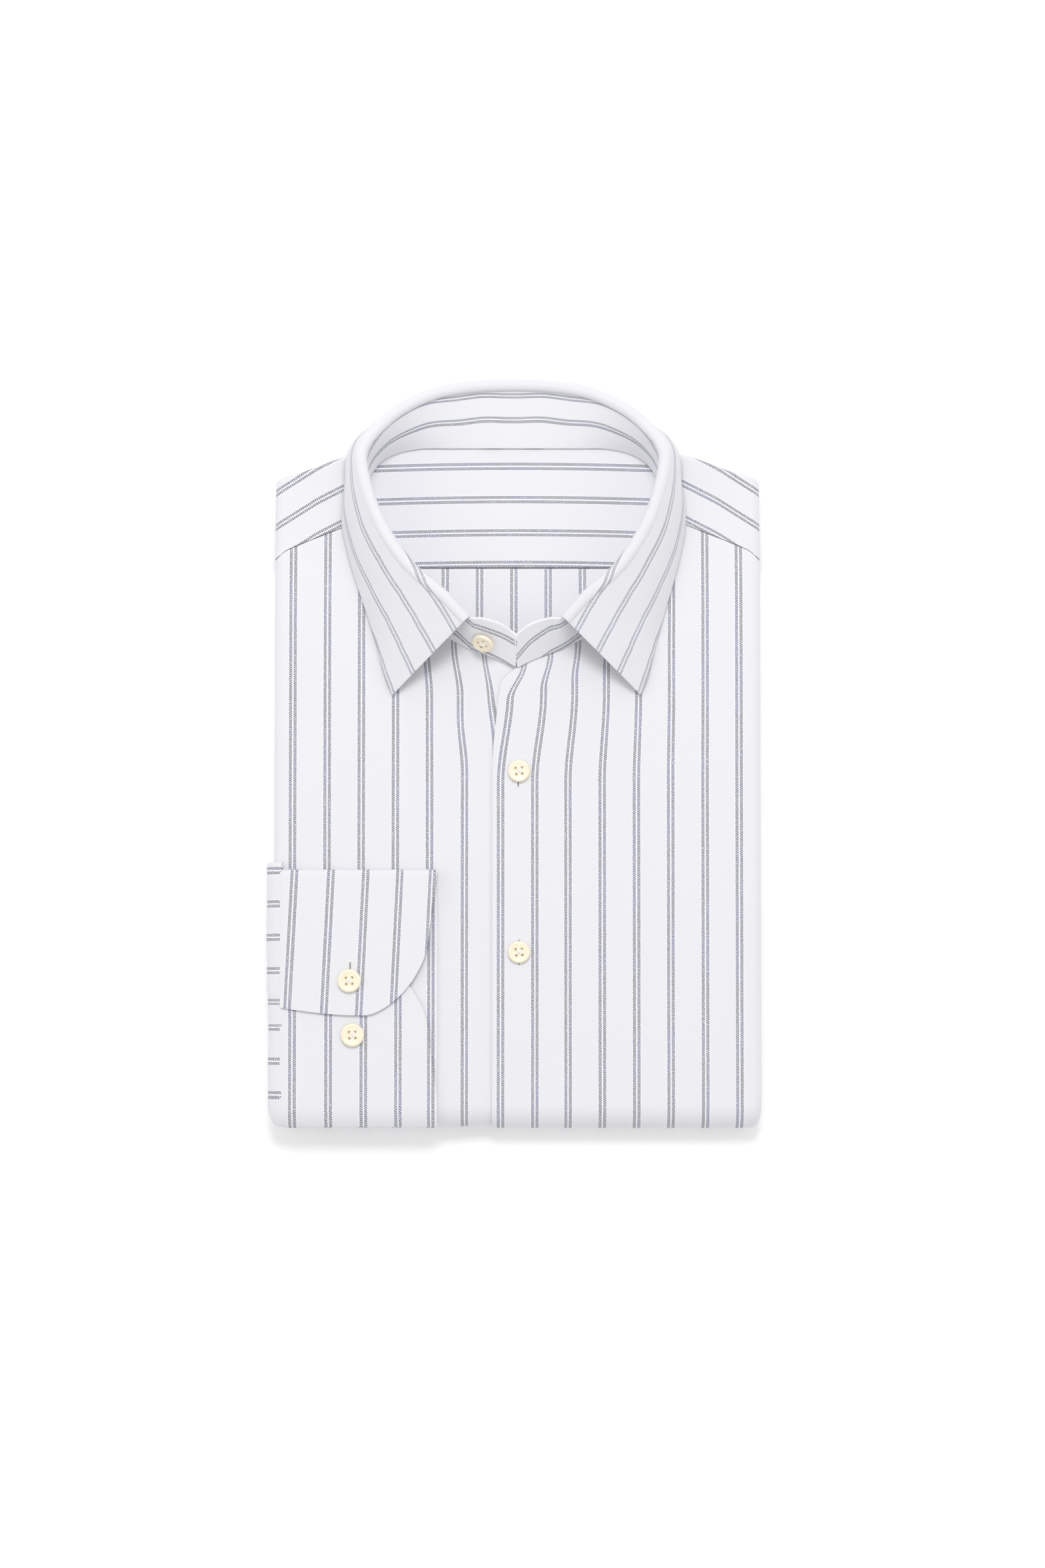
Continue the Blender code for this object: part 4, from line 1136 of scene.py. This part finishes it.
def turned(name, profile, segments, material):
    """Solid of revolution about Z from a profile of radius and height pairs."""
    angles = np.linspace(0, 2 * math.pi, segments, endpoint=False)
    rings = np.stack([profile[:, :1] * np.cos(angles), profile[:, :1] * np.sin(angles),
                      np.broadcast_to(profile[:, 1:], (len(profile), segments))], axis=-1)
    mesh = bpy.data.meshes.new(name)
    mesh.from_pydata(rings.reshape(-1, 3).tolist(), [], tube_faces(len(profile), segments))
    mesh.materials.append(material)
    return add_object(name, mesh)


def hole_places():
    """Centres of the four holes of a button."""
    reach = BUTTON_HOLE_PITCH / 2
    return [(sx * reach, sy * reach) for sx, sy in ((1, 1), (-1, 1), (-1, -1), (1, -1))]


def button_blank(name, diameter, material):
    """Four-hole button with a rounded rim and a shallow dish, its back at the origin."""
    size = np.array([diameter / 2, BUTTON_THICKNESS])
    item = turned(name, np.array(BUTTON_PROFILE) * size, 64, material)
    hole = np.array([(BUTTON_HOLE_DIAMETER / 2, -BUTTON_THICKNESS),
                     (BUTTON_HOLE_DIAMETER / 2, 2 * BUTTON_THICKNESS)])
    cutters = []
    for x, y in hole_places():
        cutter = turned("hole", hole, 20, material)
        cutter.location = (x, y, 0)
        cutters.append(cutter)
        cut = item.modifiers.new("hole", "BOOLEAN")
        cut.operation = "DIFFERENCE"
        cut.solver = "EXACT"
        cut.object = cutter
    bpy.context.view_layer.update()
    graph = bpy.context.evaluated_depsgraph_get()
    mesh = bpy.data.meshes.new_from_object(item.evaluated_get(graph))
    for thing in [item] + cutters:
        bpy.data.objects.remove(thing, do_unlink=True)
    return mesh


def thread_points(path, radius, sides=8):
    """Points and faces of a round thread along a path, its ends closed.

    Each ring is a circle of the radius in the plane square to the path.
    """
    path = np.array(path)
    run = np.gradient(path, axis=0)
    run = run / np.linalg.norm(run, axis=1, keepdims=True)
    side = np.cross(run, np.array([0.0, 0.0, 1.0]))
    small = np.linalg.norm(side, axis=1) < 0.3
    side[small] = np.cross(run[small], np.array([0.577, 0.577, 0.577]))
    side = side / np.linalg.norm(side, axis=1, keepdims=True)
    top = np.cross(side, run)
    angles = np.linspace(0, 2 * math.pi, sides, endpoint=False)
    rings = (path[:, None, :] + radius * (side[:, None, :] * np.cos(angles)[None, :, None]
                                          + top[:, None, :] * np.sin(angles)[None, :, None]))
    return rings.reshape(-1, 3), tube_faces(len(path), sides)


def joined_object(name, parts, materials):
    """One object from parts of points, faces and a material number each."""
    faces, numbers = [], []
    start = 0
    for points, part_faces, number in parts:
        faces += [[index + start for index in face] for face in part_faces]
        numbers += [number] * len(part_faces)
        start += len(points)
    mesh = bpy.data.meshes.new(name)
    mesh.from_pydata(np.concatenate([part[0] for part in parts]).tolist(), [], faces)
    for material in materials:
        mesh.materials.append(material)
    mesh.polygons.foreach_set("material_index", numbers)
    mesh.shade_smooth()
    return add_object(name, mesh)


def crossing_thread(start, end, rise):
    """Path of a thread from one hole up over the dish and down into another.

    It bows up by the root of a half sine and dives straight down at both ends.
    """
    dive = 0.06
    share = np.linspace(-dive, 1 + dive, 15)
    held = np.clip(share, 0.0, 1.0)
    bow = np.sin(math.pi * held) ** 0.5
    down = 1.6 * MM * np.maximum(0.0, np.maximum(-share, share - 1)) / dive
    inner = 0.09 + 0.82 * held
    return np.stack([start[0] + (end[0] - start[0]) * inner,
                     start[1] + (end[1] - start[1]) * inner,
                     DISH * BUTTON_THICKNESS + rise * bow - 0.2 * MM - down], axis=1)


def button(name, diameter, place, facing, turn, looks):
    """Button with its thread crossed between the holes, its back at a place."""
    mesh = button_blank(name, diameter, looks[0])
    blank = np.empty(3 * len(mesh.vertices))
    mesh.vertices.foreach_get("co", blank)
    parts = [(blank.reshape(-1, 3), [tuple(face.vertices) for face in mesh.polygons], 0)]
    bpy.data.meshes.remove(mesh)
    holes = hole_places()
    for first, second, lift in ((0, 2, 0.9), (1, 3, 1.7)):
        path = crossing_thread(holes[first], holes[second], THREAD * lift)
        parts.append((*thread_points(path, THREAD), 1))
    # A thread through each hole: the thread is real, its tan colour is painted light for the
    # lit-through inside of the hole.
    for x, y in holes:
        stub = [(x, y, 0.3 * MM), (x, y, DISH * BUTTON_THICKNESS - 0.35 * MM)]
        parts.append((*thread_points(stub, 0.46 * BUTTON_HOLE_DIAMETER, 12), 2))
    rotation = Vector((0, 0, 1)).rotation_difference(Vector(facing)).to_matrix().to_4x4()
    move = np.array(Matrix.Translation(Vector(place)) @ rotation
                    @ Matrix.Rotation(turn, 4, "Z"))
    moved = [(points @ move[:3, :3].T + move[:3, 3], faces, number)
             for points, faces, number in parts]
    item = joined_object(name, moved, looks)
    item.data.set_sharp_from_angle(angle=math.radians(38))
    return item


def band_button_place():
    """Place and facing of the button on the left end of the band."""
    _, base, tops = band_lines()
    at_back = base[:, 1] > 60 * MM
    nearest = int(np.argmin(np.abs(base[:, 0] - BAND_BUTTON_X) + 10 * at_back))
    up = Vector(tops[nearest] - base[nearest]).normalized()
    run = Vector(base[nearest + 1] - base[nearest - 1]).normalized()
    facing = up.cross(run).normalized()
    if facing.y > 0:
        facing = -facing
    middle = Vector(base[nearest]) + up * BAND_BUTTON_UP
    return middle + facing * (SOLID_COLLAR / 2 + BAND_BUTTON_LIFT), facing


def group_tree(name, inputs, outputs):
    """Empty shader node group with named sockets."""
    tree = bpy.data.node_groups.new(name, "ShaderNodeTree")
    for label, kind, value in inputs:
        socket = tree.interface.new_socket(name=label, in_out="INPUT", socket_type=kind)
        if value is not None:
            socket.default_value = value
    for label, kind in outputs:
        tree.interface.new_socket(name=label, in_out="OUTPUT", socket_type=kind)
    return tree, tree.nodes.new("NodeGroupInput"), tree.nodes.new("NodeGroupOutput")


def math_node(tree, operation, first, second=None, third=None, clamp=False):
    """Output of a math node whose inputs are sockets or numbers."""
    node = tree.nodes.new("ShaderNodeMath")
    node.operation = operation
    node.use_clamp = clamp
    for index, value in enumerate((first, second, third)):
        if isinstance(value, (int, float)):
            node.inputs[index].default_value = value
        elif value is not None:
            tree.links.new(value, node.inputs[index])
    return node.outputs[0]


def mix_colour(tree, share, first, second):
    """Output of a colour mix whose inputs are sockets or colours."""
    node = tree.nodes.new("ShaderNodeMix")
    node.data_type = "RGBA"
    for socket, value in ((node.inputs[0], share), (node.inputs[6], first),
                          (node.inputs[7], second)):
        if isinstance(value, (int, float, tuple)):
            socket.default_value = value
        else:
            tree.links.new(value, socket)
    return node.outputs[2]


def noise(tree, vector, scale, detail):
    """Output of a noise texture on a vector."""
    node = tree.nodes.new("ShaderNodeTexNoise")
    node.inputs["Scale"].default_value = scale
    node.inputs["Detail"].default_value = detail
    tree.links.new(vector, node.inputs["Vector"])
    return node.outputs["Fac"]


def striped_twill_group():
    """Stripe pairs of fine twill on a plain ground: colour and height of the weave.

    The cloth coordinate counts stripe pairs across and the same unit along. Each line is
    a soft-edged band beside the middle of its pair, hatched by a diagonal sine wave with
    a wandering phase. It turns from grey to blue and fades a little along its length.
    """
    colour, number = "NodeSocketColor", "NodeSocketFloat"
    tree, given, out = group_tree(
        "striped_twill",
        (("Cloth", "NodeSocketVector", None), ("Ground", colour, (0.85, 0.85, 0.88, 1)),
         ("Between lines", colour, (0.95, 0.95, 0.98, 1)),
         ("Grey line", colour, (0.205, 0.205, 0.225, 1)),
         ("Blue line", colour, (0.215, 0.225, 0.33, 1)),
         ("Line strength", number, 1.0), ("Hatch", number, 0.74)),
        (("Color", colour), ("Height", number)))

    def maths(operation, *values, clamp=False):
        """Output of a math node in this group."""
        return math_node(tree, operation, *values, clamp=clamp)

    cloth = given.outputs["Cloth"]
    split = tree.nodes.new("ShaderNodeSeparateXYZ")
    tree.links.new(cloth, split.inputs[0])
    across, along = split.outputs[0], split.outputs[1]
    unit = PITCH / MM
    pair = maths("ROUND", across)
    beside = maths("MULTIPLY", maths("SUBTRACT", across, pair), unit)
    distance = maths("ABSOLUTE", beside)
    along_mm = maths("MULTIPLY", along, unit)
    diagonal = maths("MULTIPLY_ADD", beside, HATCH_SLOPE, along_mm)

    from_line = maths("ABSOLUTE", maths("SUBTRACT", distance, LINE_OFFSET))
    line = maths("MULTIPLY", maths("SUBTRACT", LINE_HALF_WIDTH, from_line), 4.2, clamp=True)
    inside = maths("MULTIPLY", maths("SUBTRACT", PAIR_HALF_WIDTH, distance), 3.0, clamp=True)

    phase = maths("MULTIPLY", noise(tree, cloth, unit / 2.2, 2.0), 4.5)
    wave = maths("SINE", maths("MULTIPLY_ADD", diagonal, 2 * math.pi / HATCH_PERIOD, phase))
    hatch = maths("MULTIPLY_ADD", wave, 1.1, 0.45, clamp=True)
    thin = maths("MULTIPLY", hatch, given.outputs["Hatch"])

    line_number = maths("MULTIPLY_ADD", pair, 2.0, maths("SIGN", beside))
    place = tree.nodes.new("ShaderNodeCombineXYZ")
    tree.links.new(maths("MULTIPLY", line_number, 3.7), place.inputs[0])
    tree.links.new(maths("MULTIPLY", along, 0.75), place.inputs[1])
    drift = noise(tree, place.outputs[0], 1.0, 2.0)
    blue = maths("MULTIPLY", maths("SUBTRACT", drift, 0.44), 5.0, clamp=True)
    line_colour = mix_colour(tree, blue, given.outputs["Grey line"], given.outputs["Blue line"])
    uneven = noise(tree, place.outputs[0], 3.1, 3.0)
    depth = maths("MULTIPLY_ADD", uneven, 0.5, 0.72, clamp=True)
    grain = maths("MULTIPLY_ADD", noise(tree, cloth, unit / 0.8, 1.0), 2.4, -0.15)

    share = maths("MULTIPLY", line, maths("SUBTRACT", 1.0, thin))
    share = maths("MULTIPLY", maths("MULTIPLY", share, depth), grain)
    share = maths("MINIMUM", maths("MULTIPLY", share, 1.25), 1.0)
    share = maths("MULTIPLY", share, given.outputs["Line strength"])
    ground = mix_colour(tree, inside, given.outputs["Ground"], given.outputs["Between lines"])
    tree.links.new(mix_colour(tree, share, ground, line_colour), out.inputs["Color"])

    weave = maths("SINE", maths("MULTIPLY", diagonal, 2 * math.pi / WEAVE_PERIOD))
    cross = maths("SINE", maths("MULTIPLY", along_mm, 2 * math.pi / RIB_PERIOD))
    ribs = maths("MULTIPLY_ADD", cross, 0.35, maths("MULTIPLY", weave, 0.5))
    tree.links.new(ribs, out.inputs["Height"])
    return tree


def shaded_material(name, values):
    """Material, its node tree and its shader, with values on the shader's own sockets."""
    material = bpy.data.materials.new(name)
    material.use_nodes = True
    shader = material.node_tree.nodes["Principled BSDF"]
    for label, value in values.items():
        shader.inputs[label].default_value = value
    return material, material.node_tree, shader


def cloth_material(name, group, ground, between_lines, strength):
    """Cotton: the striped twill with soft diffuse reflection and a faint sheen."""
    material, tree, shader = shaded_material(name, {
        "Roughness": 0.88, "Specular IOR Level": 0.18, "Sheen Weight": 0.10,
        "Sheen Roughness": 0.45})
    uv = tree.nodes.new("ShaderNodeUVMap")
    uv.uv_map = "cloth"
    weave = tree.nodes.new("ShaderNodeGroup")
    weave.node_tree = group
    weave.inputs["Ground"].default_value = ground
    weave.inputs["Between lines"].default_value = between_lines
    weave.inputs["Line strength"].default_value = strength
    threads = tree.nodes.new("ShaderNodeBump")
    threads.inputs["Strength"].default_value = WEAVE_BUMP
    threads.inputs["Distance"].default_value = 0.05 * MM
    tree.links.new(uv.outputs[0], weave.inputs["Cloth"])
    tree.links.new(weave.outputs["Color"], shader.inputs["Base Color"])
    tree.links.new(weave.outputs["Height"], threads.inputs["Height"])
    tree.links.new(threads.outputs[0], shader.inputs["Normal"])
    return material


def button_material():
    """Ivory resin: satin, slightly clouded, with a warm cast."""
    material, tree, shader = shaded_material("ivory_button_look", {
        "Roughness": 0.32, "Subsurface Weight": 0.12,
        "Subsurface Radius": (0.0012, 0.0009, 0.0005), "Coat Weight": 0.15})
    place = tree.nodes.new("ShaderNodeTexCoord")
    cloud = noise(tree, place.outputs["Object"], 260.0, 2.0)
    tone = mix_colour(tree, cloud, (0.92, 0.82, 0.62, 1), (0.96, 0.89, 0.73, 1))
    tree.links.new(tone, shader.inputs["Base Color"])
    return material


def plain_material(name, colour, roughness):
    """Material of one colour."""
    return shaded_material(name, {"Base Color": colour, "Roughness": roughness})[0]


def buttonhole(name, x, y, half_length, height, looks):
    """Buttonhole along Y: a narrow dark slit with a low bar of thread round it.

    The thread follows two half circles joined by straights. The slit is a thin box in painted
    shade.
    """
    z = float(surface_z(x, y)) + height
    wide = 0.62 * MM
    long = half_length - wide
    half_turn = np.linspace(0, math.pi, 13)
    angles = np.concatenate([half_turn, half_turn + math.pi])
    centres = np.repeat([y + long, y - long], len(half_turn))
    path = np.stack([x + wide * np.cos(angles), centres + wide * np.sin(angles),
                     np.full(len(angles), z)], axis=1)
    path = np.concatenate([path, [(x + wide, y + long * 0.999, z)]])
    corners = ((-SLIT_HALF_WIDTH, -long), (SLIT_HALF_WIDTH, -long), (SLIT_HALF_WIDTH, long),
               (-SLIT_HALF_WIDTH, long))
    slit = [(x + across, y + along, level) for level in (z + 0.12 * MM, z - 0.2 * MM)
            for across, along in corners]
    slit_faces = [(0, 1, 2, 3), (7, 6, 5, 4), (0, 4, 5, 1), (1, 5, 6, 2), (2, 6, 7, 3),
                  (3, 7, 4, 0)]
    return joined_object(name, [(*thread_points(path, HOLE_THREAD, 6), 0),
                                (slit, slit_faces, 1)], looks)


def build_buttons(button_looks, hole_looks):
    """Buttons by node, and buttonholes."""
    place, facing = band_button_place()
    made = [("button_collar", button("visual_button_collar", BUTTON_DIAMETER, place, facing,
                                     0.4, button_looks))]
    _, middle, high = cuff_heights()
    half = SOLID_CUFF / 2
    on_cuff = high + half + float(cuff_lift(CUFF_BUTTON_1[0], CUFF_BUTTON_1[1]))
    for node, (x, y), height, diameter, turn in (
            ("button_front_1", FRONT_BUTTON_1, 0.0, BUTTON_DIAMETER, 0.1),
            ("button_front_2", FRONT_BUTTON_2, 0.0, BUTTON_DIAMETER, 0.1),
            ("button_cuff_1", CUFF_BUTTON_1, on_cuff, CUFF_BUTTON_DIAMETER, 0.05),
            ("button_cuff_2", CUFF_BUTTON_2, middle + half, CUFF_BUTTON_DIAMETER, 0.05)):
        place = (x, y, float(surface_z(x, y)) + height + GAP)
        made.append((node, button("visual_" + node, diameter, place, (0, 0, 1), turn,
                                  button_looks)))
    holes = [buttonhole(name, x * MM, y * MM, half_length * MM, height, hole_looks)
             for name, x, y, half_length, height in (
                 ("buttonhole_front_1", 0.4, -10.6, 7.0, 0.05 * MM),
                 ("buttonhole_front_2", 0.8, -102.2, 7.0, 0.05 * MM),
                 ("buttonhole_cuff_1", -85.6, -115.2, 8.2, high + half + CUFF_BULGE))]
    return made, holes


def add_lights():
    """Soft white studio light from above and from beyond the collar."""
    world = bpy.data.worlds.new("studio")
    world.use_nodes = True
    world.node_tree.nodes["Background"].inputs["Color"].default_value = (1, 1, 1, 1)
    world.node_tree.nodes["Background"].inputs["Strength"].default_value = WORLD_STRENGTH
    bpy.context.scene.world = world
    for name, place, size, power in LIGHTS:
        light = bpy.data.lights.new(name, "AREA")
        light.shape = "SQUARE"
        light.size = size
        light.energy = power
        lamp = add_object(name, light)
        lamp.location = place
        lamp.rotation_euler = (-Vector(place)).to_track_quat("-Z", "Y").to_euler()


def add_floor():
    """Plain white floor, just under the shirt."""
    half, level = 4.0, -0.3 * MM
    mesh = bpy.data.meshes.new("floor")
    mesh.from_pydata([(-half, -half, level), (half, -half, level), (half, half, level),
                      (-half, half, level)], [], [(0, 1, 2, 3)])
    white = shaded_material("floor_white", {
        "Base Color": (0.98, 0.98, 0.98, 1), "Roughness": 0.9,
        "Emission Color": (1, 1, 1, 1), "Emission Strength": FLOOR_GLOW})[0]
    mesh.materials.append(white)
    add_object("floor", mesh)


def add_camera():
    """Camera above the shirt, tipped slightly, as in the photograph."""
    data = bpy.data.cameras.new("camera")
    data.lens = CAMERA_LENS
    data.sensor_width = CAMERA_SENSOR
    data.clip_end = 20.0
    camera = add_object("camera", data)
    distance = PHOTO_HEIGHT * PHOTO_SCALE * CAMERA_LENS / CAMERA_SENSOR
    back_off = Vector((0.0, -math.cos(CAMERA_TILT), math.sin(CAMERA_TILT)))
    camera.location = Vector(CAMERA_TARGET) + back_off * distance
    camera.rotation_euler = (-back_off).to_track_quat("-Z", "Y").to_euler()
    bpy.context.scene.camera = camera


def place_piece(item, node):
    """The piece rides the body and stands for its solid."""
    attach(item, "root")
    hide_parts(node)


def build_pieces():
    """All pieces of the shirt."""
    group = striped_twill_group()
    looks = {name: cloth_material(name, group, *values) for name, values in CLOTH_LOOKS.items()}
    ivory = button_material()
    thread = plain_material("white_thread_look", (0.88, 0.87, 0.84, 1), 0.7)
    # Tan of the thread in the holes: painted light for the lit-through inside of each hole.
    tan = plain_material("thread_in_hole_painted_light_look", (0.50, 0.37, 0.19, 1), 0.8)
    # Near-black colour of the slit: painted shade in the cut.
    dark = plain_material("buttonhole_slit_painted_shade_look", (0.12, 0.12, 0.12, 1), 0.9)
    makers = {"front_left": front_left, "front_right": front_right, "yoke": yoke,
              "back": back, "collar_band": collar_band, "collar_leaf": collar_leaf,
              "sleeve_right": sleeve_right, "cuff_right": cuff_right}
    for node, look, width, length, beneath in SHEETS:
        item = makers[node](looks[look])
        place_piece(item, node)
    for name, width, low, short, depth, thickness, kind in LAYERS:
        item = hidden_layer(name, width * MM, low * MM, short * MM, depth * MM,
                            thickness * MM, kind, looks["folded_shirting_painted_shade_look"])
        place_piece(item, "folded_layers")
    buttons, holes = build_buttons([ivory, thread, tan], [thread, dark])
    for node, item in buttons:
        place_piece(item, node)
    for item in holes:
        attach(item, "root")


build_pieces()
add_lights()
add_floor()
add_camera()
bpy.context.scene.view_settings.view_transform = "Standard"
